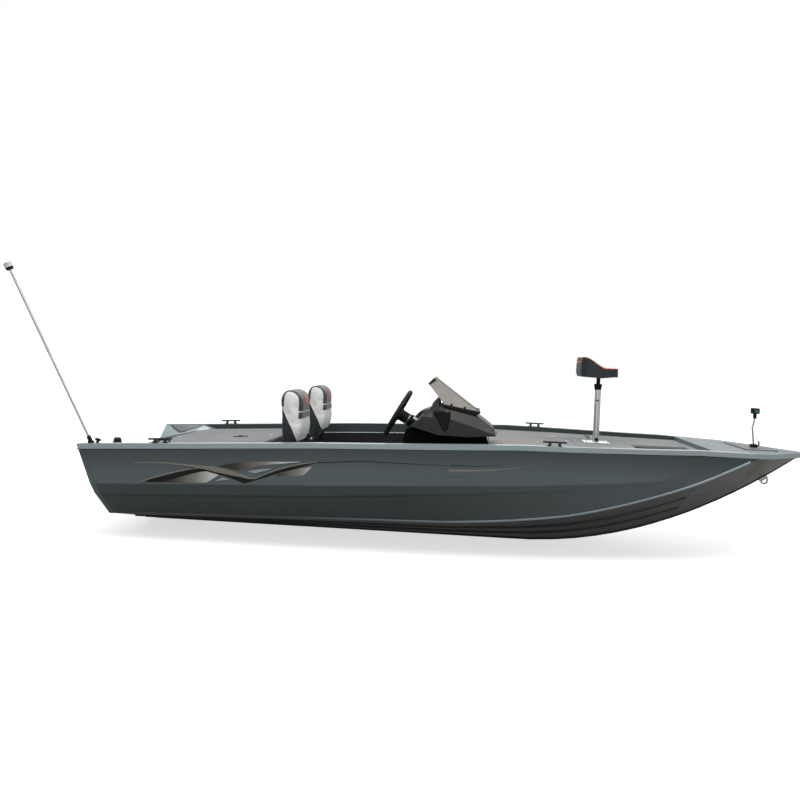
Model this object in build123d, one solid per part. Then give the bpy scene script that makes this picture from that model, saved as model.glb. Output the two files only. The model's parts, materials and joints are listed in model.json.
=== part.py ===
from build123d import *
from collections import namedtuple
import math
import os

# Bass boat in millimetres: bow towards +X, port towards +Y, up +Z.
# Heights are taken from the keel line here, and lowered to the waterline when written.
waterline_z = 170

# Hull stations from the transom to the bow corner, straight between them.
# Columns: place along the boat, then half breadth and height of the chine, of the lower and
# upper creases of the side, and of the gunwale's outer top edge.
Station = namedtuple("Station", "x chine_y chine_z low_y low_z high_y high_z rail_y rail_z")
stations = [
    Station(-2490, 760, 141, 905, 286, 940, 355, 980, 607),
    Station(-930, 778, 192, 955, 361, 990, 431, 1030, 705),
    Station(-100, 782, 211, 955, 423, 990, 477, 1040, 744),
    Station(335, 781, 247, 940, 456, 972, 501, 1020, 765),
    Station(700, 765, 294, 895, 487, 922, 522, 965, 767),
    Station(1000, 742, 365, 838, 518, 856, 541, 887, 769),
    Station(1300, 706, 453, 765, 552, 772, 561, 809, 772),
    Station(1550, 677, 539, 699, 607, 722, 676, 744, 776),
    Station(1760, 652, 632, 665, 668, 677, 704, 690, 772),
    Station(1970, 635, 736, 635, 736, 635, 736, 635, 768),
]
stern_x = stations[0].x
corner_x = stations[-1].x
side_end_x = corner_x - 30
transom_rake = 18.3
transom_thickness = 40

# Bow outline forward of the corner: place along the boat and half breadth.
bow_outline = [(2050, 590), (2120, 522), (2460, 90), (2489, 30)]
bow_tip_z = 752

# Stem: a parabola that rises from the flat keel to the bow.
stem_start_x = 430
stem_end_x = 2430
stem_rise = 710

# Shell, rails and decks.
side_thickness = 25
side_step_in = 18
side_step_drop = 16
side_step_end_x = 1300
bottom_thickness = 25
bottom_rim = 60
rail_width = 90
rail_height = 32
rail_lip_depth = 72
rail_lip_thickness = 12
seat_gap = 0.3
rail_gap = 1
deck_thickness = 18
rear_deck_drop = 38
rear_deck_front_x = -1400
well_front_x = -2170
well_half_width = 660
well_floor_z = 400
well_wall = 12
motor_cut_z = 508
corner_cap_thickness = 8
corner_cap_drop = 4
corner_cap_tip = 90
corner_cap_edge = 1.5
bow_deck_aft_x = 100
bow_deck_front_x = 1665
bow_deck_z = 722
bow_deck_rise = 0.0136
bow_deck_joint_x = 1150
cap_thickness = 12
floor_z = 235
floor_thickness = 12
floor_side_gap = 60
bulkhead_thickness = 15
liner_thickness = 10
liner_side_gap = 60
fit_clearance = 5
over_all = 2000

# Lids: name, aft and front edge, starboard and port edge, hinged edge.
Lid = namedtuple("Lid", "name aft front right left hinge")
rear_lids = [
    Lid("rear_lid_center", -2145, -1965, -300, 300, "front"),
    Lid("rear_lid_port", -1940, -1450, 140, 640, "aft"),
    Lid("rear_lid_starboard", -1940, -1450, -800, -330, "aft"),
]
bow_lids = [
    Lid("bow_lid_center", 165, 780, -250, 250, "aft"),
    Lid("rod_lid_port", 245, 1100, 360, 710, "left"),
    Lid("rod_lid_starboard", 245, 1100, -710, -360, "right"),
]
cap_lid = Lid("bow_hatch", 1745, 1940, -300, 300, "front")
lid_gap = 5
bin_rim = 15
bin_margin = 10
bin_floor = 8
rear_bin_z = 330
rear_center_bin_z = 430
rod_bin_z = 480
center_bin_z = 400
cap_bin_z = 640

# Foot pedal recess in the bow deck.
recess_aft_x = 1200
recess_front_x = 1600
recess_right_y = -450
recess_left_y = -50
recess_depth = 110
recess_wall = 8

# Keel strip and strakes under the bottom.
keel_strip_width = 24
keel_strip_depth = 8
keel_strip_start_x = -2250
keel_strip_end_x = 1760
strake_shares = (0.32, 0.62)
strake_width = 34
strake_depth = 12
strake_end_x = 1550

# Cockpit seats. The back's outline and its shell's front edge are x and z points from the hinge.
seat_y = 556
seat_width = 420
seat_box_aft_x = -1300
seat_box_front_x = -660
seat_box_top_z = 405
cushion_aft_x = -1045
cushion_front_x = -620
cushion_thickness = 115
cushion_inset = 3
back_hinge_x = -1195
back_hinge_z = 607
back_outline = [(-22, -20), (-20, 60), (-36, 200), (-51, 345), (-49, 380), (-41, 402), (-27, 414), (-5, 419),
                (25, 416), (49, 406), (67, 389), (78, 365), (83, 333), (83, 290), (86, 240), (90, 190),
                (91, 153), (84, 115), (69, 78), (46, 38), (22, 8), (14, -20)]
shell_edge = [(-46, 298), (10, 205), (43, 149), (60, 110), (69, 76)]
shell_low_edge = [(200, 0)]
shell_split = 0.6
back_shoulder_z = 150
back_top_half_width = 165
back_corner = 34
bracket_thickness = 6
bracket_gap = 5
bracket_radius = 25
bracket_foot = 45
bracket_overlap = 38
pin_diameter = 12
pin_clearance = 0.3
pin_reach = 25

# Helm. The outlines are x and z points.
console_right_y = -880
console_left_y = -270
console_crown = [(-367, 836), (-300, 919), (-248, 963), (-200, 1022)]
console_seat_line = [(-192, 973.5), (-150, 971.5), (-60, 954.5), (54, 930.5)]
console_nose = [(112, 891), (169, 851), (190, 814)]
console_under = [(185, 803), (117, 797), (9, 787), (-189, 789)]
console_ridge = [(-367, 835), (-300, 903), (-113, 895), (-13, 868), (60, 845), (190, 808)]
console_shoulder = 42
visor_outline = [(-353, 893), (-329, 918), (-301, 934), (-262, 948), (-248, 960), (-240, 950), (-320, 880),
                 (-338, 868)]
visor_half_width = 165
pocket_outline = [(-227, 934), (-118, 941), (-119, 880), (-128, 835), (-143, 811), (-160, 820),
                  (-181, 850), (-206, 895)]
pocket_depth = 25
trim_outline = [(-190, 974), (-163, 989), (50, 957), (80, 952), (78, 944), (54, 931), (-60, 955), (-150, 972)]
trim_overhang = 12
console_base_inset = 40
console_base_aft = [(-415, 760), (-403, 812), (-372, 834)]
console_base_front_x = 125
console_base_toe_x = 152
bulkhead_gap = 3
wheel_x = -482
wheel_y = -500
wheel_z = 896
wheel_tilt = 28
wheel_diameter = 360
wheel_rim = 33
wheel_hub_diameter = 90
wheel_hub_thickness = 26
wheel_spoke_width = 30
wheel_spoke_thickness = 8
column_diameter = 78
column_length = 60
boot_diameter = 112
boot_length = 90
shaft_diameter = 22
windshield_outline = [(-161, 989.4), (50, 957.6), (-238, 1158), (-274, 1120)]
windshield_thickness = 5
windshield_inset = 36

# Bow seat on its pedestal. The seat's outline is x and z points from the top of the swivel tube.
pedestal_x = 955
pedestal_plate = 190
pedestal_plate_thickness = 8
pedestal_height = 416
pedestal_diameter = 47
pedestal_bury = 4
swivel_tube_diameter = 29
swivel_tube_show = 63
swivel_tube_depth = 120
swivel_tube_foot_gap = 10
bow_seat_width = 390
bow_seat_corner = 70
bow_seat_under = [(-140, 5), (-87, 3), (0, 0), (82, 10), (123, 11)]
bow_seat_saddle = [(119, 70), (54, 69), (16, 68), (6, 72), (-44, 102), (-75, 125), (-109, 142), (-141, 145)]
bow_seat_rear = [(-150, 96), (-154, 38)]
bow_seat_crown = 13
bow_seat_sink = 8
bow_seat_piping = 9

# Rear seat socket.
socket_x = -1680
socket_y = 60
socket_bore = 62
socket_gap = 1
socket_flange = 110
socket_hole = 48
socket_depth = 70
socket_floor = 6
socket_flange_thickness = 4

# Fittings.
cleat_places = (-1964, 566)
cleat_length = 152
cleat_height = 33
cleat_bar = 13
cleat_foot_spacing = 64
cleat_foot = 18
eye_x = 2213.5
eye_z = 529
eye_radius = 24
eye_wire = 14
eye_plate_length = 62
eye_plate_width = 46
eye_plate_thickness = 12
eye_hull_reach = 80
stern_light_x = -2425
stern_light_y = -905
stern_light_tilt = 28.5
stern_light_length = 1230
stern_light_diameter = 16
stern_light_base = 40
stern_light_foot = 12
stern_light_collar = 27
stern_light_collar_length = 42
stern_light_head = 52
stern_light_lens = 34
stern_light_skirt = 12
bow_light_x = 2120
bow_light_base_length = 48
bow_light_base_width = 44
bow_light_base_height = 28
bow_light_bend = (-15, 118)
bow_light_top = (-2, 185)
bow_light_diameter = 13
bow_light_tube_gap = 1.5
bow_light_collar = 26
bow_light_collar_length = 38
bow_light_head_length = 56
bow_light_head_width = 46
bow_light_head_height = 42

# The trolling motor's pad on the bow plate.
pad_aft_x = 1975
pad_front_x = 2255
pad_aft_half_width = 310
pad_front_half_width = 165
pad_thickness = 3
pad_hole_gap = 1


def transom_x(z):
    """The transom's outer face at height z."""
    return stern_x + (stations[0].rail_z - z) * math.tan(math.radians(transom_rake))


def keel_z(x):
    """The keel line: flat, then a rising stem."""
    share = max(x - stem_start_x, 0) / (stem_end_x - stem_start_x)
    return stem_rise * share**2


def hull(column, x):
    """A hull line at x, straight between the stations."""
    aft, fore = stations[0], stations[1]
    for first, second in zip(stations, stations[1:]):
        if x > first.x:
            aft, fore = first, second
    start = aft.x
    if aft.x == stern_x and not column.startswith("rail"):
        start = transom_x(getattr(aft, column[:-1] + "z")) + transom_thickness
    share = max(x - start, 0) / (fore.x - start)
    return getattr(aft, column) + share * (getattr(fore, column) - getattr(aft, column))


def between(start, end):
    """Both ends and every station between them."""
    return [start] + [s.x for s in stations if start < s.x < end] + [end]


def halved(places):
    """The places with one more half way along each stretch that the stem's curve crosses."""
    closer = [places[0]]
    for aft, fore in zip(places, places[1:]):
        if fore > stem_start_x:
            closer.append((aft + fore) / 2)
        closer.append(fore)
    return closer


def bow_width(x):
    """Half breadth of the bow plate's edge, straight between the outline's points."""
    points = [(corner_x, stations[-1].rail_y)] + bow_outline
    for (aft, wide), (fore, narrow) in zip(points, points[1:]):
        if aft <= x <= fore:
            return wide + (narrow - wide) * (x - aft) / (fore - aft)


def bow_top(x):
    """Height of the bow plate's top forward of the corner."""
    share = (x - corner_x) / (bow_outline[-1][0] - corner_x)
    return stations[-1].rail_z + share * (bow_tip_z - stations[-1].rail_z)


def bottom_edge(x):
    """Half breadth and height of the bottom's upper edge."""
    if x <= corner_x:
        return hull("chine_y", x), hull("chine_z", x)
    return bow_width(x), bow_top(x) - rail_height


def side_y(x, z):
    """Outer half breadth of the side at height z."""
    points = [(hull("chine_y", x), hull("chine_z", x)), (hull("low_y", x), hull("low_z", x)),
              (hull("high_y", x), hull("high_z", x)), (hull("rail_y", x), hull("rail_z", x))]
    for (y0, z0), (y1, z1) in zip(points, points[1:]):
        if z <= z1:
            break
    return y0 + (y1 - y0) * (z - z0) / (z1 - z0)


def side_step(x):
    """The point where the side steps in under its lower crease."""
    share = min(max((side_step_end_x - x) / 600, 0), 1)
    return hull("low_y", x) - side_step_in * share, hull("low_z", x) - side_step_drop * share - 1


def side_points(x):
    """The side's outer points from the chine up to the rail's underside."""
    return [(hull("chine_y", x), hull("chine_z", x)), side_step(x), (hull("low_y", x), hull("low_z", x)),
            (hull("high_y", x), hull("high_z", x)), (hull("rail_y", x), hull("rail_z", x) - rail_height)]


def along(points, place):
    """Straight between points of a line, level beyond its ends."""
    for (start, low), (end, high) in zip(points, points[1:]):
        if place <= end:
            return low + (high - low) * max(place - start, 0) / (end - start)
    return points[-1][1]


def rail_inner(x):
    """Half breadth of the rail's inner face."""
    return hull("rail_y", x) - rail_width


def rail_lip(x):
    """Height of the inner lip's lower edge, which runs out over the bow plate."""
    taper = max(x - bow_deck_front_x, 0) / (corner_x - bow_deck_front_x)
    return hull("rail_z", x) - rail_height - (rail_lip_depth - rail_height) * (1 - taper) - rail_gap * taper


def rear_deck_top(x):
    return hull("rail_z", x) - rear_deck_drop


def bow_deck_top(x):
    return bow_deck_z + bow_deck_rise * (x - bow_deck_aft_x)


def cap_top(x):
    return hull("rail_z", x)


def floor_half(x):
    """Half breadth of the cockpit floor."""
    return side_y(x, floor_z) - side_thickness - floor_side_gap


def liner_points(x):
    """The cockpit liner's inner face, from under the rail down to the floor."""
    return [(rail_inner(x), rail_lip(x) - rail_gap), (hull("low_y", x) - liner_side_gap, hull("low_z", x)),
            (floor_half(x) - liner_thickness, floor_z)]


def within_liner(piece, aft, front):
    """The part of a fixture that clears the starboard or port liner between two places."""
    narrow = [min(one[0], two[0]) - fit_clearance for one, two in zip(liner_points(aft), liner_points(front))]
    knee = max(hull("low_z", aft), hull("low_z", front))
    half = [(narrow[2], floor_z), (narrow[1], knee), (narrow[1], over_all)]
    outline = half + [(-y, z) for y, z in reversed(half)]
    face = make_face(Wire.make_polygon([(aft - fit_clearance, y, z) for y, z in outline]))
    return piece & extrude(face, amount=front - aft + 2 * fit_clearance, dir=(1, 0, 0))


def corner_cap_inner(x):
    """Height of the stern corner cap's inner edge: from the motor cut up to the rear deck."""
    high = rear_deck_top(well_front_x) + seat_gap + corner_cap_edge
    low = motor_cut_z + corner_cap_thickness + seat_gap
    return low + (high - low) * (x - stern_x) / (well_front_x - stern_x)


def loft(section, places, stern_shift=0):
    """Straight-sided solid through the section at each place; the first may lie on the transom."""
    rings = []
    for x in places:
        points = section(x)
        if x == stern_x:
            ring = [(transom_x(z) + stern_shift, y, z) for y, z in points]
        else:
            ring = [(x, y, z) for y, z in points]
        rings.append(Wire.make_polygon(ring))
    return Solid.make_loft(rings, ruled=True)


def box(x0, x1, y0, y1, z0, z1):
    """A box between its two corners."""
    size = Box(x1 - x0, y1 - y0, z1 - z0)
    return Pos((x0 + x1) / 2, (y0 + y1) / 2, (z0 + z1) / 2) * size


def slab(x0, x1, y0, y1, top, thickness):
    """A plate whose top follows a deck."""
    def section(x):
        return [(y0, top(x)), (y1, top(x)), (y1, top(x) - thickness), (y0, top(x) - thickness)]
    return loft(section, [x0, x1])


def profile(points, y0, y1):
    """A side outline of x and z points, carried from y0 to y1."""
    face = make_face(Wire.make_polygon([(x, y0, z) for x, z in points]))
    return extrude(face, amount=y1 - y0, dir=(0, 1, 0))


def rod(start, end, diameter):
    """A round bar between two points."""
    start, end = Vector(start), Vector(end)
    plane = Plane(origin=start, z_dir=end - start)
    return Solid.make_cylinder(diameter / 2, (end - start).length, plane)


def mirrored(piece):
    """The piece's twin on the other side of the boat."""
    return mirror(piece, about=Plane.XZ)


def write(name, *pieces):
    """One file for each node, lowered to the waterline."""
    solids = []
    for piece in pieces:
        solids.extend(piece.solids())
    moved = [Pos(0, 0, -waterline_z) * solid for solid in solids]
    export_step(moved[0] if len(moved) == 1 else Compound(moved), f"parts/{name}.step")


# Hull shell

def bottom_section(x):
    y, z = bottom_edge(x)
    keel = keel_z(x)
    rim = min(bottom_rim, y / 2)
    inner = keel + min(bottom_thickness, (z - keel) / 2)
    return [(0, keel), (y, z), (y - rim, z), (0, inner), (rim - y, z), (-y, z)]


def side_section(x):
    outer = side_points(x)
    return outer + [(y - side_thickness, z) for y, z in reversed(outer)]


def rail_section(x):
    outer, top = hull("rail_y", x), hull("rail_z", x)
    inner = rail_inner(x)
    under = top - rail_height
    lip = rail_lip(x)
    return [(outer, under), (outer, top), (inner, top), (inner, lip),
            (inner + rail_lip_thickness, lip), (inner + rail_lip_thickness, under)]


def make_hull():
    bow_places = [x for x, _ in bow_outline if x < stem_end_x] + [stem_end_x]
    bottom_places = halved(between(stern_x, corner_x) + bow_places)
    write("hull_bottom", loft(bottom_section, bottom_places, transom_thickness))
    side = loft(side_section, between(stern_x, side_end_x), transom_thickness)
    write("hull_side_port", side)
    write("hull_side_starboard", mirrored(side))
    rail = loft(rail_section, between(stern_x, corner_x))
    write("gunwale_port", rail)
    write("gunwale_starboard", mirrored(rail))


def make_transom():
    first = stations[0]
    inner = first.rail_y - rail_width
    top = first.rail_z - rail_height
    cap = first.rail_z - corner_cap_drop - corner_cap_thickness - seat_gap
    half = side_points(stern_x) + [(inner - rail_gap, top), (inner - rail_gap, cap),
                                   (well_half_width - well_wall, motor_cut_z)]
    outline = [(0, 0)] + half + [(-y, z) for y, z in reversed(half)]
    rings = []
    for shift in (0, transom_thickness):
        rings.append(Wire.make_polygon([(transom_x(z) + shift, y, z) for y, z in outline]))
    plate = Solid.make_loft(rings, ruled=True)
    slot = rail_lip_thickness + 4 * rail_gap
    for y in (inner - rail_gap, -inner - slot + rail_gap):
        plate = plate - box(stern_x - rail_width, transom_x(0), y, y + slot,
                            rail_lip(stern_x) - rail_gap, first.rail_z)
    write("transom", plate)


# Decks

def bin_under(lid, top, thickness, floor):
    """A bin that hangs under a deck, its rim reaching in under the lid's edge."""
    x0, x1 = lid.aft - lid_gap - bin_margin, lid.front + lid_gap + bin_margin
    y0, y1 = lid.right - lid_gap - bin_margin, lid.left + lid_gap + bin_margin

    def section(x):
        high = top(x) - thickness
        return [(y0, floor), (y1, floor), (y1, high), (y0, high)]
    inside = box(lid.aft + bin_rim, lid.front - bin_rim, lid.right + bin_rim, lid.left - bin_rim,
                 floor + bin_floor, top(x1) + thickness)
    return loft(section, [x0, x1]) - inside


def lid_hole(lid):
    return box(lid.aft - lid_gap, lid.front + lid_gap, lid.right - lid_gap, lid.left + lid_gap,
               0, over_all)


def make_lid(lid, top, thickness):
    write(lid.name, slab(lid.aft, lid.front, lid.right, lid.left, top, thickness - seat_gap))


def make_rear_deck():
    def section(x):
        y, top = rail_inner(x) - rail_gap, rear_deck_top(x)
        return [(y, top), (-y, top), (-y, top - deck_thickness), (y, top - deck_thickness)]
    deck = loft(section, between(well_front_x, rear_deck_front_x))
    bins = []
    for lid in rear_lids:
        deck = deck - lid_hole(lid)
        floor = rear_center_bin_z if lid.hinge == "front" else rear_bin_z
        bins.append(bin_under(lid, rear_deck_top, deck_thickness, floor))
        make_lid(lid, rear_deck_top, deck_thickness)
    deck = deck - Pos(socket_x, socket_y, rear_deck_top(socket_x)) * Cylinder(socket_bore / 2 + 2 * socket_gap,
                                                                              6 * deck_thickness)
    write("rear_deck", deck)
    write("rear_bins", *bins)


def make_well():
    """The splash well between the transom and the rear deck, its sides under the corner caps."""
    top = rear_deck_top(well_front_x)
    inside = well_half_width - well_wall

    def outer(x):
        return [(well_half_width, well_floor_z), (well_half_width, top), (-well_half_width, top),
                (-well_half_width, well_floor_z)]

    def hollow(x):
        return [(inside, well_floor_z + well_wall), (inside, over_all), (-inside, over_all),
                (-inside, well_floor_z + well_wall)]

    def above(x):
        low = corner_cap_inner(x) - corner_cap_thickness - seat_gap
        return [(inside - seat_gap, low), (over_all, low), (over_all, over_all), (inside - seat_gap, over_all)]
    well = loft(outer, [stern_x, well_front_x - seat_gap], transom_thickness + seat_gap)
    well = well - loft(hollow, [stern_x, well_front_x - seat_gap - well_wall], -transom_thickness)
    rim = loft(above, [stern_x, well_front_x])
    write("splash_well", well - rim - mirrored(rim))


def make_corner_caps():
    """The plates that slope from the stern corners of the rails down to the well and the rear deck."""
    joint = well_front_x - seat_gap

    def plate(x):
        y, inner = rail_inner(x) - rail_gap, well_half_width - well_wall
        high, low = hull("rail_z", x) - corner_cap_drop, corner_cap_inner(x)
        return [(y, high), (inner, low), (inner, low - corner_cap_thickness), (y, high - corner_cap_thickness)]

    def tip(x):
        share = 1 - (x - joint) / corner_cap_tip
        y, low = rail_inner(x) - rail_gap, rear_deck_top(x) + seat_gap
        high = low + corner_cap_edge + share * (rear_deck_drop - corner_cap_drop - corner_cap_edge - seat_gap)
        inner = y - corner_cap_drop - share * (y - corner_cap_drop - well_half_width + well_wall)
        return [(y, high), (inner, low + corner_cap_edge), (inner, low), (y, low)]
    cap = loft(plate, [stern_x, joint]) + loft(tip, [joint, joint + corner_cap_tip])
    write("stern_corner_caps", cap, mirrored(cap))


def make_bow_deck():
    def section(x):
        y, top = rail_inner(x) - rail_gap, bow_deck_top(x)
        return [(y, top), (-y, top), (-y, top - deck_thickness), (y, top - deck_thickness)]
    deck = loft(section, between(bow_deck_aft_x, bow_deck_front_x))
    bins = []
    for lid in bow_lids:
        deck = deck - lid_hole(lid)
        floor = center_bin_z if lid.hinge == "aft" else rod_bin_z
        bins.append(bin_under(lid, bow_deck_top, deck_thickness, floor))
        make_lid(lid, bow_deck_top, deck_thickness)
    deck = deck - box(recess_aft_x, recess_front_x, recess_right_y, recess_left_y, 0, over_all)
    seam = box(bow_deck_joint_x, bow_deck_joint_x + seat_gap, -over_all, over_all, 0, over_all)
    write("bow_deck", *(deck - seam).solids())
    write("bow_bins", *bins)
    top = bow_deck_top(recess_aft_x) - deck_thickness

    def outer(x):
        y0, y1 = recess_right_y - recess_wall, recess_left_y + recess_wall
        high = bow_deck_top(x) - deck_thickness
        return [(y0, top - recess_depth), (y1, top - recess_depth), (y1, high), (y0, high)]
    tray = loft(outer, [recess_aft_x - recess_wall, recess_front_x + recess_wall])
    tray = tray - box(recess_aft_x, recess_front_x, recess_right_y, recess_left_y,
                      top - recess_depth + recess_wall, over_all)
    write("pedal_recess", tray)


def make_bow_cap():
    """The flat plate over the bow, with its hatch and its riser down to the bow deck."""
    def inner(x):
        y, top = rail_inner(x) - rail_gap, cap_top(x)
        return [(y, top), (-y, top), (-y, top - cap_thickness), (y, top - cap_thickness)]

    def outer(x):
        y, top = bow_width(x), bow_top(x)
        return [(y, top), (-y, top), (-y, top - rail_height), (y, top - rail_height)]
    plate = loft(inner, between(bow_deck_front_x, corner_x))
    nose = loft(outer, [corner_x] + [x for x, _ in bow_outline])
    y = rail_inner(bow_deck_front_x) - 3 * rail_gap
    riser = box(bow_deck_front_x + seat_gap, bow_deck_front_x + cap_thickness, -y, y,
                bow_deck_top(bow_deck_front_x) - deck_thickness, cap_top(bow_deck_front_x) - cap_thickness / 2)
    write("bow_cap", plate + nose + riser - lid_hole(cap_lid))
    make_lid(cap_lid, cap_top, cap_thickness)
    write("bow_hatch_bin", bin_under(cap_lid, cap_top, cap_thickness, cap_bin_z))


# Cockpit

def make_cockpit():
    def floor(x):
        y = floor_half(x)
        return [(y, floor_z), (-y, floor_z), (-y, floor_z - floor_thickness), (y, floor_z - floor_thickness)]
    write("cockpit_floor", loft(floor, between(rear_deck_front_x, bow_deck_aft_x)))

    def bulkhead(x, top):
        half = [(floor_half(x), floor_z - floor_thickness),
                (hull("low_y", x) - liner_side_gap, hull("low_z", x)), (rail_inner(x) - rail_gap, top)]
        outline = half + [(-y, z) for y, z in reversed(half)]
        return make_face(Wire.make_polygon([(x, y, z) for y, z in outline]))
    aft = bulkhead(rear_deck_front_x - seat_gap,
                   rear_deck_top(rear_deck_front_x - bulkhead_thickness) - deck_thickness - seat_gap)
    write("rear_bulkhead", extrude(aft, amount=bulkhead_thickness, dir=(-1, 0, 0)))
    fore = bulkhead(bow_deck_aft_x + seat_gap, bow_deck_top(bow_deck_aft_x) - deck_thickness)
    write("bow_bulkhead", extrude(fore, amount=bulkhead_thickness, dir=(1, 0, 0)))

    def section(x):
        inner = liner_points(x)
        return inner + [(y + liner_thickness, z) for y, z in reversed(inner)]
    liner = loft(section, between(rear_deck_front_x, bow_deck_aft_x))
    write("cockpit_liners", liner, mirrored(liner))


# Under the bottom

def make_keel():
    half = keel_strip_width / 2

    def section(x):
        y, z = bottom_edge(x)
        keel = keel_z(x) - seat_gap
        rise = (z - seat_gap - keel) / y * half
        return [(0, keel), (half, keel + rise), (half, keel - keel_strip_depth),
                (-half, keel - keel_strip_depth), (-half, keel + rise)]
    write("keel_strip", loft(section, halved(between(keel_strip_start_x, keel_strip_end_x))))

    strakes = []
    for share in strake_shares:
        def strake(x):
            y, z = bottom_edge(x)
            keel = keel_z(x) - 2 * seat_gap
            slope = (z - 2 * seat_gap - keel) / y
            middle = share * y
            low, high = middle - strake_width / 2, middle + strake_width / 2
            return [(low, keel + slope * low), (high, keel + slope * high),
                    (high, keel + slope * high - strake_depth)]
        piece = loft(strake, halved(between(keel_strip_start_x, strake_end_x)))
        strakes += [piece, mirrored(piece)]
    write("bottom_strakes", *strakes)


# Seats

def make_back(y, half):
    """One seat back, split into its shell and its pad along the shell's edge."""
    turned = Pos(back_hinge_x, y, back_hinge_z)
    top = max(z for _, z in back_outline)
    right = [(-half, -seat_box_top_z), (-half, back_shoulder_z), (-back_top_half_width, top)]
    outline = right + [(-y, z) for y, z in reversed(right)]
    face = make_face(Wire.make_polygon([(-over_all, y, z) for y, z in outline]))
    front_view = extrude(face, amount=2 * over_all, dir=(1, 0, 0))
    corners = [edge for edge in front_view.edges().filter_by(Axis.X) if edge.center().Z > back_shoulder_z + 1]
    whole = profile(back_outline, -half, half) & fillet(corners, back_corner)
    edge = shell_edge + shell_low_edge
    far = [(shell_low_edge[-1][0], -seat_box_top_z), (-seat_box_top_z, -seat_box_top_z),
           (-seat_box_top_z, shell_edge[0][1] + seat_box_top_z)]
    aft = profile(edge + far, -half - 1, half + 1)
    grown = [(x + shell_split, z + shell_split) for x, z in edge]
    fore = profile(grown + [(far[0][0], far[0][1]), far[1], far[2]], -half - 2, half + 2)
    bore = rod((0, -half - 1, 0), (0, half + 1, 0), pin_diameter + 2 * pin_clearance)
    return turned * ((whole & aft) - bore), turned * (whole - fore)


def make_seats():
    boxes, cushions, brackets = [], [], []
    half = seat_width / 2
    for side, name in ((1, "port"), (-1, "starboard")):
        y = side * seat_y
        wide = half + bracket_gap
        block = box(seat_box_aft_x, seat_box_front_x, y - wide, y + wide, floor_z, seat_box_top_z)
        boxes.append(within_liner(block, seat_box_aft_x, seat_box_front_x))
        low, high = seat_box_top_z, seat_box_top_z + cushion_thickness
        nose = cushion_thickness / 3
        shape = [(cushion_aft_x, low), (cushion_front_x - nose, low), (cushion_front_x, low + nose),
                 (cushion_front_x - nose / 4, high - nose / 2), (cushion_front_x - nose, high),
                 (cushion_aft_x + nose / 2, high - nose / 6), (cushion_aft_x, high - nose)]
        cushions.append(profile(shape, y - half + cushion_inset, y + half - cushion_inset))
        shell, pad = make_back(y, half)
        write(f"seat_back_shell_{name}", shell)
        write(f"seat_back_pad_{name}", pad)
        for edge in (-1, 1):
            lower, upper = sorted((y + edge * wide, y + edge * (wide + bracket_thickness)))
            foot = seat_box_top_z - bracket_overlap
            plate = profile([(back_hinge_x - bracket_foot, foot), (back_hinge_x + bracket_foot, foot),
                             (back_hinge_x + bracket_radius, back_hinge_z),
                             (back_hinge_x - bracket_radius, back_hinge_z)], lower, upper)
            round_top = rod((back_hinge_x, lower, back_hinge_z), (back_hinge_x, upper, back_hinge_z),
                            2 * bracket_radius)
            pin = rod((back_hinge_x, y + edge * (half - pin_reach), back_hinge_z),
                      (back_hinge_x, y + edge * (wide + bracket_thickness), back_hinge_z), pin_diameter)
            brackets.append(plate + round_top + pin)
    write("seat_boxes", *boxes)
    write("seat_cushions", *cushions)
    write("seat_hinge_brackets", *brackets)


# Helm

def console_shell():
    """The console's moulded body with sloping shoulders, a visor and a side pocket."""
    top = console_crown + console_seat_line + console_nose
    body = profile(top + console_under, console_right_y, console_left_y)
    crest = [point for point in top if point not in console_seat_line[:1]]
    places = sorted({x for x, _ in crest} | {x for x, _ in console_ridge})
    middle = (console_right_y + console_left_y) / 2
    half = (console_left_y - console_right_y) / 2

    def shoulder(x):
        ridge, high = along(console_ridge, x), along(crest, x)
        return [(middle + half + 1, ridge), (middle + half - console_shoulder, high),
                (middle + half - console_shoulder, over_all), (middle + half + 1, over_all)]
    cut = loft(shoulder, [places[0] - 1] + places + [places[-1] + 1])
    twin = Pos(0, 2 * middle, 0) * mirrored(cut)
    visor = profile(visor_outline, wheel_y - visor_half_width, wheel_y + visor_half_width)
    pocket = profile(pocket_outline, console_right_y - 1, console_right_y + pocket_depth)
    return (body - cut - twin) + visor - pocket


def make_console():
    body = console_shell()
    write("console_body", body)
    inset = console_shoulder - trim_overhang
    write("console_trim", profile(trim_outline, console_right_y + inset, console_left_y - inset))
    deck = bow_deck_top(console_base_toe_x) + seat_gap
    wall = bow_deck_aft_x - bulkhead_gap
    under = [(x, z - seat_gap) for x, z in reversed(console_under[1:])]
    outline = [(console_base_aft[0][0], floor_z)] + console_base_aft + under
    outline += [(console_base_front_x, under[-1][1] - bulkhead_gap), (console_base_toe_x, deck),
                (wall, deck), (wall, floor_z)]
    base = profile(outline, console_right_y + console_base_inset, console_left_y - console_base_inset)
    base = within_liner(base, console_base_aft[0][0], bow_deck_aft_x) + \
        (base & box(wall, over_all, -over_all, over_all, deck, over_all))
    write("console_base", base)
    write("windshield", make_windshield())
    make_helm(body, base)


def make_windshield():
    """A raked panel with two side wings, bent from one sheet."""
    right = console_right_y + windshield_inset
    left = console_left_y - windshield_inset
    whole = profile(windshield_outline, right, left)
    (foot_x, foot_z), (top_x, top_z) = windshield_outline[1], windshield_outline[2]
    dx, dz = top_x - foot_x, top_z - foot_z
    size = math.hypot(dx, dz)
    inner_x = foot_x - dz / size * windshield_thickness
    inner_z = foot_z + dx / size * windshield_thickness
    hollow = profile([(inner_x - dx, inner_z - dz), (inner_x + 2 * dx, inner_z + 2 * dz),
                      (inner_x + 2 * dx, inner_z - dz)],
                     right + windshield_thickness, left - windshield_thickness)
    return whole - hollow


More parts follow.
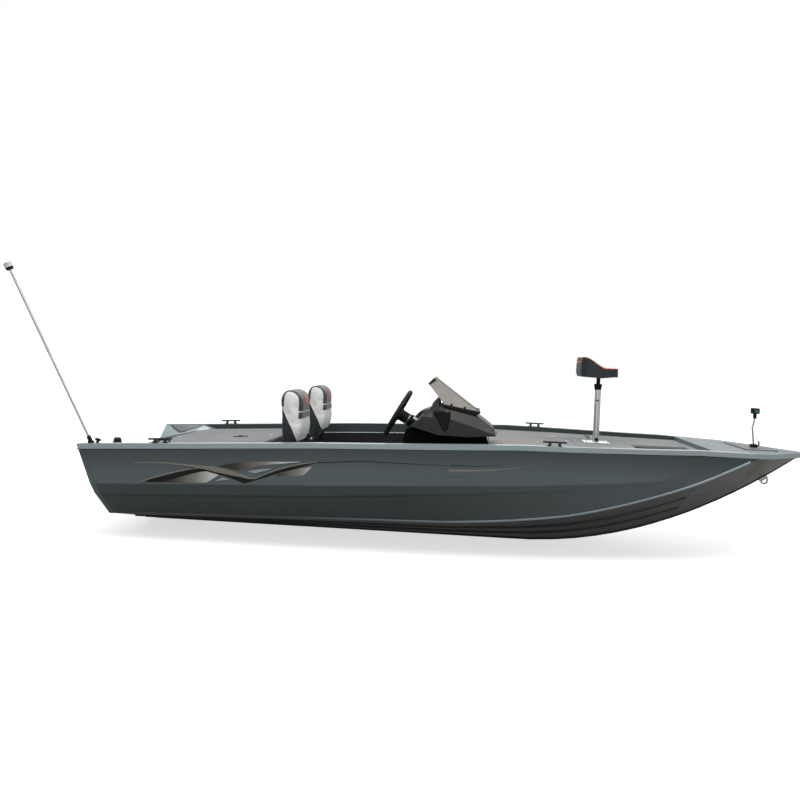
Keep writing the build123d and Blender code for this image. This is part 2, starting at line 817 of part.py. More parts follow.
def make_helm(body, base):
    tilt = math.radians(wheel_tilt)
    forward = Vector(math.cos(tilt), 0, -math.sin(tilt))
    center = Vector(wheel_x, wheel_y, wheel_z)
    plane = Plane(origin=center, x_dir=(0, 1, 0), z_dir=forward)
    ring = plane.location * Torus(wheel_diameter / 2 - wheel_rim / 2, wheel_rim / 2)
    hub = Solid.make_cylinder(wheel_hub_diameter / 2, wheel_hub_thickness, plane)
    wheel = ring + hub
    reach = wheel_diameter / 2 - wheel_rim / 2
    for turn in (90, 210, 330):
        spoke = Pos(reach / 2, 0, wheel_hub_thickness / 4) * Box(reach, wheel_spoke_width, wheel_spoke_thickness)
        wheel = wheel + plane.location * Rot(0, 0, turn) * spoke
    bore = Solid.make_cylinder(shaft_diameter / 2 + pin_clearance, 3 * wheel_hub_thickness,
                               Plane(origin=center - forward * wheel_hub_thickness, z_dir=forward))
    write("steering_wheel", wheel - bore)
    start = center + forward * (wheel_hub_thickness + seat_gap)
    housing = Solid.make_cylinder(column_diameter / 2, column_length, Plane(origin=start, z_dir=forward))
    boot = Solid.make_cone(column_diameter / 2, boot_diameter / 2, boot_length,
                           Plane(origin=start + forward * column_length, z_dir=forward))
    shaft = Solid.make_cylinder(shaft_diameter / 2, wheel_hub_thickness + 1,
                                Plane(origin=center, z_dir=forward))
    column = max((housing + boot + shaft - body - base).solids(), key=lambda solid: solid.volume)
    write("steering_column", column)


# Bow seat

def pedestal_frame():
    """The pedestal's own frame, square to the bow deck."""
    return Pos(pedestal_x, 0, bow_deck_top(pedestal_x)) * Rot(0, -math.degrees(math.atan(bow_deck_rise)), 0)


def make_pedestal():
    frame = pedestal_frame()
    half = pedestal_plate / 2
    plate = slab(pedestal_x - half, pedestal_x + half, -half, half,
                 lambda x: bow_deck_top(x) + seat_gap + pedestal_plate_thickness, pedestal_plate_thickness)
    bore = Solid.make_cylinder(swivel_tube_diameter / 2 + pin_clearance, swivel_tube_depth + pedestal_bury,
                               Plane(origin=(0, 0, pedestal_height - swivel_tube_depth)))
    post = Solid.make_cylinder(pedestal_diameter / 2, pedestal_height - pedestal_bury,
                               Plane(origin=(0, 0, pedestal_bury)))
    write("pedestal_plate", plate - frame * post)
    write("pedestal_post", frame * (post - bore))
    low = pedestal_height - swivel_tube_depth + swivel_tube_foot_gap
    foot = pedestal_height + swivel_tube_show
    tube = Solid.make_cylinder(swivel_tube_diameter / 2, foot - low - seat_gap, Plane(origin=(0, 0, low)))
    write("bow_seat_swivel", frame * tube)
    wide = bow_seat_width / 2
    saddle = bow_seat_saddle
    outline = bow_seat_under + saddle + bow_seat_rear
    skirt = profile(outline, -wide, wide)
    sunk = [(x, z - bow_seat_sink) for x, z in saddle]
    raised = [(x, z + bow_seat_crown) for x, z in saddle]
    front, rear = saddle[0][0] - bow_seat_piping, saddle[-1][0] + bow_seat_piping
    band = profile(sunk + list(reversed(raised)), bow_seat_piping - wide, wide - bow_seat_piping)
    trimmed = box(rear, front, -wide, wide, -foot, over_all)
    plan = box(bow_seat_rear[-1][0], bow_seat_under[-1][0], -wide, wide, -foot, over_all)
    plan = fillet(plan.edges().filter_by(Axis.Z), bow_seat_corner)
    inner = box(rear, front, bow_seat_piping - wide, wide - bow_seat_piping, -foot, over_all)
    inner = fillet(inner.edges().filter_by(Axis.Z), bow_seat_corner - bow_seat_piping)
    cushion = band & trimmed & inner
    hollow = profile([(x, z - bow_seat_sink - seat_gap) for x, z in saddle]
                     + [(saddle[-1][0], over_all), (saddle[0][0], over_all)], -wide, wide)
    outer = box(rear - seat_gap, front + seat_gap, bow_seat_piping - seat_gap - wide,
                wide - bow_seat_piping + seat_gap, -foot, over_all)
    outer = fillet(outer.edges().filter_by(Axis.Z), bow_seat_corner - bow_seat_piping)
    seat = frame * Pos(0, 0, foot)
    write("bow_seat_base", seat * ((skirt & plan) - (hollow & outer)))
    write("bow_seat_cushion", seat * cushion)


# Fittings

def make_cleats():
    pieces = []
    for x in cleat_places:
        y = hull("rail_y", x) - rail_width / 2
        slope = math.degrees(math.atan((hull("rail_z", x + 20) - hull("rail_z", x - 20)) / 40))
        half = cleat_length / 2
        bar = rod((-half, 0, cleat_height - cleat_bar / 2), (half, 0, cleat_height - cleat_bar / 2), cleat_bar)
        for foot in (-cleat_foot_spacing / 2, cleat_foot_spacing / 2):
            bar = bar + box(foot - cleat_foot / 2, foot + cleat_foot / 2, -cleat_foot / 2, cleat_foot / 2,
                            seat_gap, cleat_height - cleat_bar / 2)
        cleat = Pos(x, y, hull("rail_z", x)) * Rot(0, -slope, 0) * bar
        pieces += [cleat, mirrored(cleat)]
    write("cleats", *pieces)


def make_eye():
    """The towing eye on the stem, with its plate."""
    x = eye_x
    slope = math.atan((keel_z(x + 10) - keel_z(x - 10)) / 20)
    ring = Plane(origin=(eye_x, 0, eye_z), x_dir=(1, 0, 0), z_dir=(0, 1, 0)).location
    loop = ring * Torus(eye_radius, eye_wire / 2)
    outward = Vector(math.sin(slope), 0, -math.cos(slope))
    reach = (keel_z(x) - eye_z) * math.cos(slope)
    foot = Vector(eye_x, 0, eye_z) - outward * (reach + seat_gap)
    frame = Plane(origin=foot, x_dir=(math.cos(slope), 0, math.sin(slope)), z_dir=outward).location
    plate = frame * Pos(0, 0, eye_plate_thickness) * Box(eye_plate_length, eye_plate_width,
                                                         2 * eye_plate_thickness)
    points = []
    for x in (eye_x - eye_hull_reach, eye_x + eye_hull_reach):
        y, z = bottom_edge(x)
        points.append([(x, 0, keel_z(x)), (x, y, z), (x, y, over_all), (x, -y, over_all), (x, -y, z)])
    hull_wedge = Solid.make_loft([Wire.make_polygon(ring) for ring in points], ruled=True)
    write("bow_eye", loop + plate - hull_wedge)


def make_stern_light():
    base = Pos(stern_light_x, stern_light_y, hull("rail_z", stern_light_x) + seat_gap)
    slope = math.degrees(math.atan((stations[1].rail_z - stations[0].rail_z)
                                   / (stations[1].x - stations[0].x)))
    level = base * Rot(0, -slope, 0)
    foot = level * Solid.make_cylinder(stern_light_base / 2, stern_light_foot)
    lean = base * Pos(0, 0, stern_light_foot / 2) * Rot(0, -stern_light_tilt, 0)
    collar = lean * Solid.make_cylinder(stern_light_collar / 2, stern_light_collar_length)
    reach = 2 * stern_light_base
    cut = level * box(-reach, reach, -reach, reach, -reach, 0)
    pole = lean * Solid.make_cylinder(stern_light_diameter / 2, stern_light_length)
    write("stern_light_base", foot + collar - pole - cut)
    write("stern_light_pole", pole - cut)
    head = lean * Pos(0, 0, stern_light_length)
    lens = head * Solid.make_cylinder(stern_light_head / 2, stern_light_lens,
                                      Plane(origin=(0, 0, stern_light_skirt)))
    skirt = head * Solid.make_cylinder(stern_light_head / 2 - 4, stern_light_skirt)
    write("stern_light_head", skirt + lens)


def make_bow_light():
    """A bent tube in its base, with a square two-colour lamp on top."""
    half_length, half_width = bow_light_base_length / 2, bow_light_base_width / 2
    low = bow_top(bow_light_x - half_length) + seat_gap
    high = low + bow_light_base_height
    write("bow_light_base", box(bow_light_x - half_length, bow_light_x + half_length, -half_width, half_width,
                                low, high))
    bend = (bow_light_x + bow_light_bend[0], 0, high + bow_light_bend[1])
    top = (bow_light_x + bow_light_top[0], 0, high + bow_light_top[1])
    start = (bow_light_x, 0, high + bow_light_tube_gap)
    tube = rod(start, bend, bow_light_diameter) + rod(bend, top, bow_light_diameter)
    tube = tube + Pos(*bend) * Sphere(bow_light_diameter / 2)
    write("bow_light_tube", tube)
    collar = Solid.make_cylinder(bow_light_collar / 2, bow_light_collar_length, Plane(origin=top))
    base = top[2] + bow_light_collar_length
    lamp = box(top[0] - bow_light_head_length / 2, top[0] + bow_light_head_length / 2,
               -bow_light_head_width / 2, bow_light_head_width / 2, base, base + bow_light_head_height)
    ceiling = box(top[0] - bow_light_collar, top[0] + bow_light_collar, -bow_light_collar, bow_light_collar,
                  high, top[2] + bow_light_tube_gap)
    write("bow_light_head", collar + lamp - ceiling)


def make_pad():
    """The trolling motor's pad, flat on the bow plate, around the bow light's base."""
    half = [(pad_aft_x, pad_aft_half_width), (pad_front_x, pad_front_half_width)]
    outline = half + [(x, -y) for x, y in reversed(half)]
    face = make_face(Wire.make_polygon([(x, y, bow_top(x) + seat_gap) for x, y in outline]))
    pad = extrude(face, amount=pad_thickness, dir=(0, 0, 1))
    length, width = bow_light_base_length / 2 + pad_hole_gap, bow_light_base_width / 2 + pad_hole_gap
    write("trolling_motor_pad", pad - box(bow_light_x - length, bow_light_x + length, -width, width,
                                          0, over_all))


def make_socket():
    """The seat socket sunk in the rear deck."""
    x, y = socket_x, socket_y
    top = rear_deck_top(x)
    slope = math.degrees(math.atan((rear_deck_top(x + socket_bore) - rear_deck_top(x - socket_bore))
                                   / (2 * socket_bore)))
    frame = Pos(x, y, top) * Rot(0, -slope, 0)
    cup = Solid.make_cylinder(socket_bore / 2 - socket_gap, socket_depth + socket_flange_thickness / 2,
                              Plane(origin=(0, 0, -socket_depth)))
    flange = Solid.make_cylinder(socket_flange / 2, socket_flange_thickness, Plane(origin=(0, 0, seat_gap)))
    hole = Solid.make_cylinder(socket_hole / 2, 2 * socket_depth,
                               Plane(origin=(0, 0, socket_floor - socket_depth)))
    write("rear_seat_socket", frame * (cup + flange - hole))


def save_all():
    make_hull()
    make_transom()
    make_rear_deck()
    make_well()
    make_corner_caps()
    make_bow_deck()
    make_bow_cap()
    make_cockpit()
    make_keel()
    make_seats()
    make_console()
    make_pedestal()
    make_cleats()
    make_eye()
    make_stern_light()
    make_bow_light()
    make_pad()
    make_socket()


os.makedirs("parts", exist_ok=True)
save_all()
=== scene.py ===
"""Looks for the bass boat: painted hull, carpeted decks, upholstered seats, helm and fittings."""

import json
import math
from contextlib import contextmanager

import bmesh
import bpy
from bpy.props import FloatProperty, FloatVectorProperty, PointerProperty
from mathutils import Matrix, Vector
from mathutils.bvhtree import BVHTree


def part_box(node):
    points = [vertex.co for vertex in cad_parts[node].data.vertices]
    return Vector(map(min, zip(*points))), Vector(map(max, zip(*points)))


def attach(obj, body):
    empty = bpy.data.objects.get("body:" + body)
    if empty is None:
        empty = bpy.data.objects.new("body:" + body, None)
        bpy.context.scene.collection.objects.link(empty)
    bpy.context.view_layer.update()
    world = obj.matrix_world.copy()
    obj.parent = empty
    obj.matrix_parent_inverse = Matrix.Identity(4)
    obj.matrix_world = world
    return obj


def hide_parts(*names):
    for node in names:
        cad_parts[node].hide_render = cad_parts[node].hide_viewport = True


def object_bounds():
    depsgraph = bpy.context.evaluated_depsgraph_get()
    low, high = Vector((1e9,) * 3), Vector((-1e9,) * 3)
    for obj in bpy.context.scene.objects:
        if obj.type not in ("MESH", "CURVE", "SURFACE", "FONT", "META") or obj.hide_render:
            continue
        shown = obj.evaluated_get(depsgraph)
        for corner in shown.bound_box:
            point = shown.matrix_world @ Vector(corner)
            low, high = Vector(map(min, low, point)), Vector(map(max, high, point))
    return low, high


bl_info = {
    "name": "Bass boat",
    "version": (1, 0, 0),
    "blender": (4, 5, 0),
    "location": "View3D > Sidebar > Boat",
    "description": "Builds the looks of a bass boat around its fixed frame",
    "category": "Object",
}

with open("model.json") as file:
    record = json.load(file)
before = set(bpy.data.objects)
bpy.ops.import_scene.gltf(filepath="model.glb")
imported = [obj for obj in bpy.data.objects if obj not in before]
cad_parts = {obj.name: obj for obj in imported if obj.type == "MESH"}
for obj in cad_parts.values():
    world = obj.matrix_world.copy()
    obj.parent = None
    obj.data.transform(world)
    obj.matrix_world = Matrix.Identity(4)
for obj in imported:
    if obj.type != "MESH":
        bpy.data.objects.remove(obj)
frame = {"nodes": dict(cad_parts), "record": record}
cad_low, cad_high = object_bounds()
MM = 0.001
WATERLINE = 170 * MM
KEEL = -WATERLINE


# Sizes and colours that a user may change

def length(name, text, value):
    return FloatProperty(name=name, description=text, default=value, unit="LENGTH")


def colour(name, text, value):
    return FloatVectorProperty(name=name, description=text, subtype="COLOR", size=3, default=value,
                               min=0, max=1)


class HullSettings(bpy.types.PropertyGroup):
    paint: colour("Paint", "Grey-green metallic hull paint", (0.116, 0.144, 0.149))
    bottom: colour("Bottom", "Paint under the chines", (0.028, 0.027, 0.024))
    edge: length("Edge radius", "Rounding of the rails' edges", 0.008)
    chine: length("Chine bead", "Radius of the rounded bead along the chine", 0.009)


class DeckSettings(bpy.types.PropertyGroup):
    carpet: colour("Carpet", "Light grey deck carpet", (0.25, 0.255, 0.26))
    dark_carpet: colour("Cockpit carpet", "Black cockpit carpet", (0.012, 0.012, 0.0125))
    mark: colour("Mark", "Orange ruler marks on the carpet", (0.6, 0.15, 0.03))


class SeatSettings(bpy.types.PropertyGroup):
    vinyl: colour("Vinyl", "White seat vinyl", (0.74, 0.74, 0.72))
    dark: colour("Dark vinyl", "Charcoal seat vinyl", (0.022, 0.028, 0.033))
    band: colour("Band", "Slate vinyl over the headrests", (0.05, 0.062, 0.068))
    piping: colour("Piping", "Orange piping on the bow seat", (0.55, 0.12, 0.03))
    crown: length("Crown", "How far the padding may swell", 0.008)


class HelmSettings(bpy.types.PropertyGroup):
    plastic: colour("Plastic", "Charcoal console plastic", (0.014, 0.015, 0.017))
    tint: colour("Tint", "Bronze windshield", (0.5, 0.46, 0.42))


class StageSettings(bpy.types.PropertyGroup):
    lens: FloatProperty(name="Lens", description="Camera lens in millimetres", default=44.1)
    key: FloatProperty(name="Key light", description="Power of the light above", default=470, unit="POWER")
    fill: FloatProperty(name="Fill light", description="Power of the light by the camera", default=50,
                        unit="POWER")
    sky: FloatProperty(name="Sky", description="Strength of the white surroundings", default=0.42)


GROUPS = {
    "boat_hull": HullSettings,
    "boat_deck": DeckSettings,
    "boat_seat": SeatSettings,
    "boat_helm": HelmSettings,
    "boat_stage": StageSettings,
}


# Shader maths

def feed(tree, socket, value):
    """Links a value to a node's socket, or sets it there."""
    if isinstance(value, Socket):
        tree.links.new(value.link, socket)
    else:
        socket.default_value = value


class Socket:
    """A shader value that adds its own Math nodes when it is used in an expression."""

    def __init__(self, tree, link):
        self.tree = tree
        self.link = link

    def math(self, operation, *values):
        node = self.tree.nodes.new("ShaderNodeMath")
        node.operation = operation
        for socket, value in zip(node.inputs, values):
            feed(self.tree, socket, value)
        return Socket(self.tree, node.outputs[0])

    def __add__(self, other):
        return self.math("ADD", self, other)

    def __sub__(self, other):
        return self.math("SUBTRACT", self, other)

    def __rsub__(self, other):
        return self.math("SUBTRACT", other, self)

    def __mul__(self, other):
        return self.math("MULTIPLY", self, other)

    def __truediv__(self, other):
        return self.math("DIVIDE", self, other)

    def clamped(self):
        node = self.math("ADD", self, 0.0)
        node.link.node.use_clamp = True
        return node

    def ramp(self, low, high):
        """0 at low and 1 at high, straight between them."""
        return ((self - low) / (high - low)).clamped()

    __radd__ = __add__
    __rmul__ = __mul__


class Finish:
    """One material, its Principled shader and the nodes behind it."""

    def __init__(self, name, **constants):
        self.material = bpy.data.materials.new(name)
        self.material.use_nodes = True
        self.tree = self.material.node_tree
        self.shader = self.tree.nodes["Principled BSDF"]
        for socket, value in constants.items():
            self.set(socket.replace("_", " "), value)

    def set(self, socket, value):
        feed(self.tree, self.shader.inputs[socket], value)

    def node(self, kind, settings=None, output=0, **inputs):
        """Any node: its settings first, then the values or links of its sockets."""
        node = self.tree.nodes.new("ShaderNode" + kind)
        for key, value in (settings or {}).items():
            if key == "stops":
                stops = node.color_ramp.elements
                while len(stops) < len(value):
                    stops.new(0.5)
                for stop, (place, tone) in zip(stops, value):
                    stop.position, stop.color = place, (*tone, 1)
            else:
                setattr(node, key, value)
        for key, value in inputs.items():
            numbered = key[0] == "n" and key[1:].isdigit()
            socket = node.inputs[int(key[1:]) if numbered else key.replace("_", " ")]
            feed(self.tree, socket, value)
        return Socket(self.tree, node.outputs[output])

    def place(self, scale=(1, 1, 1), turn=(0, 0, 0)):
        spot = self.node("TexCoord", output=3)
        return self.node("Mapping", Vector=spot, Scale=scale, Rotation=turn)

    def axis(self, which):
        return self.node("SeparateXYZ", output=which, Vector=self.node("TexCoord", output=3))

    def noise(self, scale, detail=3, rough=0.5, stretch=(1, 1, 1)):
        return self.node("TexNoise", Vector=self.place(stretch), Scale=scale, Detail=detail, Roughness=rough)

    def cells(self, scale, stretch=(1, 1, 1), feature="F1"):
        return self.node("TexVoronoi", {"feature": feature}, Vector=self.place(stretch), Scale=scale)

    def blend(self, one, two, share):
        """Mixes two colours by a share."""
        def full(value):
            return value if isinstance(value, Socket) else (*value, 1)
        return self.node("Mix", {"data_type": "RGBA"}, output=2, n0=share, n6=full(one), n7=full(two))

    def bump(self, height, depth, strength=1.0):
        normal = self.node("Bump", Height=height, Distance=depth, Strength=strength)
        self.tree.links.new(normal.link, self.shader.inputs["Normal"])


def shade(tone, factor):
    return tuple(min(channel * factor, 1) for channel in tone)


MATERIALS = {}


def material(name):
    """Makes a material the first time it is asked for. A word in its row stands for a setting."""
    if name not in MATERIALS:
        make, *values = MAKERS[name]
        values = [tuple(bpy.context.scene.path_resolve(value)) if isinstance(value, str) else value
                  for value in values]
        MATERIALS[name] = make(name, *values).material
    return MATERIALS[name]


def satin_paint(name, tone, factor=1.0):
    """Metallic hull paint: fine flake, slow drift, with painted shade under the rail and, by a factor,
    painted shade aft.
    """
    paint = Finish(name, Metallic=0.15, Coat_Weight=0.12, Coat_Roughness=0.25, Specular_IOR_Level=0.35)
    flake = paint.noise(900, 2)
    cloud = paint.noise(1.6, 3)
    along = paint.axis(0)
    # Painted shade: the colour darkens towards the rail line, to 0.48 of it at the rail.
    rail = along.ramp(-2.49, -0.93) * 0.098 + along.ramp(-0.93, 0.335) * 0.06 + 0.405
    bright = (rail - paint.axis(2)).ramp(0, 0.15) * 0.52 + 0.48
    # Painted shade aft: the colour is scaled by the factor aft of x = -0.4 m and is back to full forward of x
    # = 1.1 m.
    lift = along.ramp(-0.4, 1.1) * (1 - factor) + factor
    base = paint.blend(shade(tone, 0.86), shade(tone, 1.14), flake * 0.6 + cloud * 0.4)
    paint.set("Base Color", paint.blend((0.004, 0.004, 0.0045), base, bright * lift))
    paint.set("Roughness", cloud * 0.08 + flake * 0.08 + 0.4)
    paint.bump(paint.noise(420, 2), 0.00008)
    return paint


def cap_paint(name, tone):
    """The bow plate, paler than the hull: wear, and a painted highlight of the light from above."""
    paint = Finish(name, Metallic=0.15, Coat_Weight=0.1, Coat_Roughness=0.3)
    wear = paint.noise(18, 5, 0.6)
    # Painted highlight: up to 1.5 times the hull's paint, spread by the wear noise.
    paint.set("Base Color", paint.blend(shade(tone, 1.0), shade(tone, 1.5), wear))
    paint.set("Roughness", wear * 0.12 + 0.4)
    paint.bump(paint.noise(300, 2), 0.0001)
    return paint


def flat_paint(name, tone):
    """The paint inside the rails: the hull's paint darkened to 0.26 to 0.4 as painted shade."""
    paint = Finish(name, Specular_IOR_Level=0.25)
    dust = paint.noise(30, 4)
    # Painted shade: the hull's paint at about a quarter to two fifths of its tone.
    paint.set("Base Color", paint.blend(shade(tone, 0.26), shade(tone, 0.4), dust))
    paint.set("Roughness", dust * 0.15 + 0.5)
    return paint


def rail_paint(name, hull_tone):
    """The rails, paler than the hull: the hull's paint lifted 2.6 times as a painted highlight."""
    # Painted highlight: the hull's paint made 2.6 times paler.
    tone = shade(hull_tone, 2.6)
    paint = Finish(name, Metallic=0.2, Coat_Weight=0.2, Coat_Roughness=0.2)
    flake = paint.noise(900, 2)
    wear = paint.noise(22, 5, 0.65)
    paint.set("Base Color", paint.blend(shade(tone, 0.9), shade(tone, 1.12), flake * 0.5 + wear * 0.5))
    paint.set("Roughness", wear * 0.14 + 0.27)
    paint.bump(paint.noise(300, 2), 0.0001)
    return paint


def chine_paint(name):
    """The bead along the chine, with a painted highlight: dark aft, pale blue-grey forward."""
    paint = Finish(name, Metallic=0.3, Coat_Weight=0.3, Coat_Roughness=0.15)
    # Painted highlight, rising from x = -1.2 m to 0.2 m.
    highlight_share = paint.axis(0).ramp(-1.2, 0.2)
    paint.set("Base Color", paint.blend((0.05, 0.06, 0.062), (0.3, 0.36, 0.4), highlight_share))
    paint.set("Roughness", paint.noise(60, 3) * 0.12 + 0.28)
    return paint


def bottom_paint(name, tone):
    """The bottom, streaked along the boat and paler brownish-grey towards the bow."""
    paint = Finish(name, Coat_Weight=0.05, Coat_Roughness=0.4, Specular_IOR_Level=0.3)
    forward = paint.axis(0).ramp(0.6, 2.2)
    streak = paint.noise(7, 5, 0.6, (0.12, 1, 1))
    paler_forward = paint.blend(tone, (0.16, 0.155, 0.135), forward)
    worn = paint.blend(paler_forward, shade(tone, 0.6), streak * 0.5)
    paint.set("Base Color", worn)
    paint.set("Roughness", streak * 0.2 + 0.42)
    paint.bump(paint.noise(160, 3), 0.00025)
    return paint


def carpet(name, tone, light):
    """Cut-pile marine carpet: fibre tips, tufts and soft wear."""
    pile = Finish(name, Sheen_Weight=0.12, Sheen_Roughness=0.5, Specular_IOR_Level=0.1)
    fibre = pile.noise(1500, 3, 0.7)
    tuft = pile.cells(420)
    worn = pile.noise(5, 4, 0.6)
    speck = (fibre * 0.75 + tuft * 0.35 + worn * 0.35 - 0.25).clamped()
    pile.set("Base Color", pile.blend(shade(tone, 0.55), shade(tone, light), speck))
    pile.set("Roughness", fibre * 0.1 + 0.86)
    pile.bump(fibre * 0.5 + tuft, 0.0014)
    return pile


def plastic(name, tone, rough, grain=900, depth=0.00015, gloss=0.25):
    """Moulded plastic with a fine leather-like grain."""
    skin = Finish(name, Specular_IOR_Level=gloss)
    pore = skin.cells(grain)
    cloud = skin.noise(6, 4)
    skin.set("Base Color", skin.blend(shade(tone, 0.85), shade(tone, 1.2), pore * 0.4 + cloud * 0.6))
    skin.set("Roughness", cloud * 0.12 + rough - 0.06)
    skin.bump(pore + skin.noise(grain * 0.5, 2) * 0.5, depth)
    return skin


def vinyl(name, tone, rough=0.42):
    """Marine vinyl with leather grain and a little soiling."""
    skin = Finish(name, Coat_Weight=0.04, Coat_Roughness=0.35, Specular_IOR_Level=0.3)
    grain = skin.cells(650, feature="SMOOTH_F1")
    crease = skin.noise(90, 4, 0.6)
    soil = skin.noise(9, 4, 0.6)
    skin.set("Base Color", skin.blend(shade(tone, 0.88), shade(tone, 1.06), crease * 0.4 + soil * 0.6))
    skin.set("Roughness", crease * 0.1 + soil * 0.1 + rough - 0.1)
    skin.bump(grain + crease * 0.6, 0.00035)
    return skin


def metal(name, tone, rough, along=(1, 1, 1), lines=260):
    """Brushed metal with fine lines and handling marks."""
    bar = Finish(name, Metallic=1.0)
    line = bar.noise(lines, 3, 0.6, along)
    smear = bar.noise(14, 4)
    bar.set("Base Color", bar.blend(shade(tone, 0.86), tone, line * 0.5 + smear * 0.5))
    bar.set("Roughness", line * 0.1 + smear * 0.12 + rough - 0.1)
    bar.bump(line, 0.00006)
    return bar


def coated_metal(name, tone, rough):
    """Metal under a dark coat."""
    coat = metal(name, tone, rough)
    coat.set("Metallic", 0.2)
    return coat


def tinted_pane(name, tint):
    """The windshield's wings."""
    pane = Finish(name, Alpha=0.9, IOR=1.49, Coat_Weight=0.4, Coat_Roughness=0.05)
    haze = pane.noise(11, 4)
    pane.set("Base Color", pane.blend(shade(tint, 0.85), shade(tint, 1.15), haze))
    pane.set("Roughness", haze * 0.1 + 0.08)
    return pane


def smoked_pane(name):
    """The windshield's front sheet, painted dark olive all over: painted shade for how dark it looks seen
    along its plane.
    """
    pane = Finish(name, Alpha=0.92, Specular_IOR_Level=0.12)
    haze = pane.noise(9, 4)
    pane.set("Base Color", pane.blend((0.03, 0.028, 0.015), (0.06, 0.052, 0.03), haze))
    pane.set("Roughness", haze * 0.08 + 0.3)
    return pane


def lens(name, tone):
    """Ribbed lamp glass."""
    glass = Finish(name, Transmission_Weight=0.35, IOR=1.49, Coat_Weight=0.6)
    ridge = glass.node("TexWave", {"bands_direction": "Z"}, Vector=glass.place(), Scale=90, Distortion=0)
    glass.set("Base Color", glass.blend(shade(tone, 0.8), tone, ridge))
    glass.set("Roughness", ridge * 0.1 + 0.12)
    glass.bump(ridge, 0.0004)
    return glass


def ink(name, tone):
    """Printed vinyl film."""
    film = Finish(name, Coat_Weight=0.05, Coat_Roughness=0.3, Specular_IOR_Level=0.2)
    grain = film.noise(700, 2)
    film.set("Base Color", film.blend(shade(tone, 0.88), shade(tone, 1.1), grain))
    film.set("Roughness", grain * 0.1 + 0.3)
    return film


def fading(name, start, reach):
    """Film whose print runs from black through brown to pale along the boat."""
    film = Finish(name, Coat_Weight=0.05, Coat_Roughness=0.3, Specular_IOR_Level=0.2)
    share = film.axis(0).ramp(start, start + reach)
    tone = film.node("ValToRGB", {"stops": [(0.0, (0.009, 0.008, 0.007)), (0.35, (0.055, 0.046, 0.036)),
                                            (0.75, (0.3, 0.29, 0.26)), (1.0, (0.72, 0.73, 0.7))]}, Fac=share)
    film.set("Base Color", tone)
    film.set("Roughness", film.noise(600, 2) * 0.1 + 0.3)
    return film


def gauge_face(name):
    """A dial under glass."""
    face = Finish(name, Coat_Weight=0.8, Coat_Roughness=0.04)
    dial = face.noise(300, 2)
    face.set("Base Color", face.blend((0.012, 0.012, 0.014), (0.02, 0.02, 0.022), dial))
    face.set("Roughness", dial * 0.05 + 0.2)
    return face


# each finish with its maker and what that takes
MAKERS = {
    "hull_paint": (satin_paint, "boat_hull.paint"),
    # Darker copies of the hull paint: painted shade on the side's downward band, lower panel and step.
    "band_paint": (satin_paint, "boat_hull.paint", 0.54),
    "low_paint": (satin_paint, "boat_hull.paint", 0.43),
    "step_paint": (satin_paint, "boat_hull.paint", 0.18),
    "cap_paint": (cap_paint, "boat_hull.paint"),
    "flat_paint": (flat_paint, "boat_hull.paint"),
    "rail_paint": (rail_paint, "boat_hull.paint"),
    "chine_paint": (chine_paint,),
    "bottom_paint": (bottom_paint, "boat_hull.bottom"),
    "stripe_black": (ink, (0.006, 0.005, 0.0045)),
    "stripe_tan": (ink, (0.27, 0.25, 0.215)),
    "stripe_pale": (ink, (0.36, 0.44, 0.48)),
    "stripe_grey": (ink, (0.12, 0.13, 0.14)),
    "fade_aft": (fading, -2.0, 0.38),
    "fade_middle": (fading, -1.62, 0.46),
    "fade_front": (fading, -1.3, 0.33),
    "deck_carpet": (carpet, "boat_deck.carpet", 1.7),
    "dark_carpet": (carpet, "boat_deck.dark_carpet", 2.2),
    "mark": (ink, "boat_deck.mark"),
    "console_plastic": (plastic, "boat_helm.plastic", 0.42, 1100, 0.00012, 0.35),
    "black_plastic": (plastic, (0.006, 0.006, 0.0065), 0.55, 900, 0.00015, 0.18),
    "deep_plastic": (plastic, (0.002, 0.002, 0.0022), 0.7, 900, 0.00015, 0.05),
    "dark_trim": (plastic, (0.03, 0.028, 0.02), 0.35),
    "grip": (plastic, (0.012, 0.012, 0.013), 0.58, 520, 0.0003),
    "gauge_face": (gauge_face,),
    "windshield": (tinted_pane, "boat_helm.tint"),
    "smoked_pane": (smoked_pane,),
    "white_vinyl": (vinyl, "boat_seat.vinyl"),
    "dark_vinyl": (vinyl, "boat_seat.dark", 0.48),
    "band_vinyl": (vinyl, "boat_seat.band", 0.36),
    "piping": (vinyl, "boat_seat.piping", 0.4),
    "aluminium": (metal, (0.8, 0.8, 0.81), 0.36, (0.05, 1, 1)),
    "tube_metal": (metal, (0.72, 0.72, 0.73), 0.32, (1, 1, 0.04)),
    "pole_metal": (metal, (0.42, 0.43, 0.44), 0.38, (1, 1, 0.05)),
    "steel": (metal, (0.75, 0.75, 0.76), 0.22),
    "black_metal": (coated_metal, (0.012, 0.012, 0.013), 0.42),
    "clear_lens": (lens, (0.75, 0.77, 0.75)),
    "green_lens": (lens, (0.01, 0.16, 0.1)),
    "red_lens": (lens, (0.35, 0.01, 0.01)),
}


# Modelling helpers

MERGE = 0.00002
FLAT = math.radians(0.4)


def deselect():
    if bpy.context.object and bpy.context.object.mode != "OBJECT":
        bpy.ops.object.mode_set(mode="OBJECT")
    bpy.ops.object.select_all(action="DESELECT")


def pick(piece):
    """Makes the piece the only selected and the active object."""
    deselect()
    piece.hide_set(False)
    piece.select_set(True)
    bpy.context.view_layer.objects.active = piece


@contextmanager
def editing(piece):
    """Edit mode with all of the piece selected, and back."""
    pick(piece)
    bpy.ops.object.mode_set(mode="EDIT")
    bpy.ops.mesh.select_all(action="SELECT")
    yield
    bpy.ops.object.mode_set(mode="OBJECT")


def settle(piece):
    """Puts a finished piece's place into its mesh."""
    pick(piece)
    bpy.ops.object.transform_apply(location=True, rotation=True, scale=True)


def smooth(piece, angle=35):
    pick(piece)
    bpy.ops.object.shade_smooth_by_angle(angle=math.radians(angle))


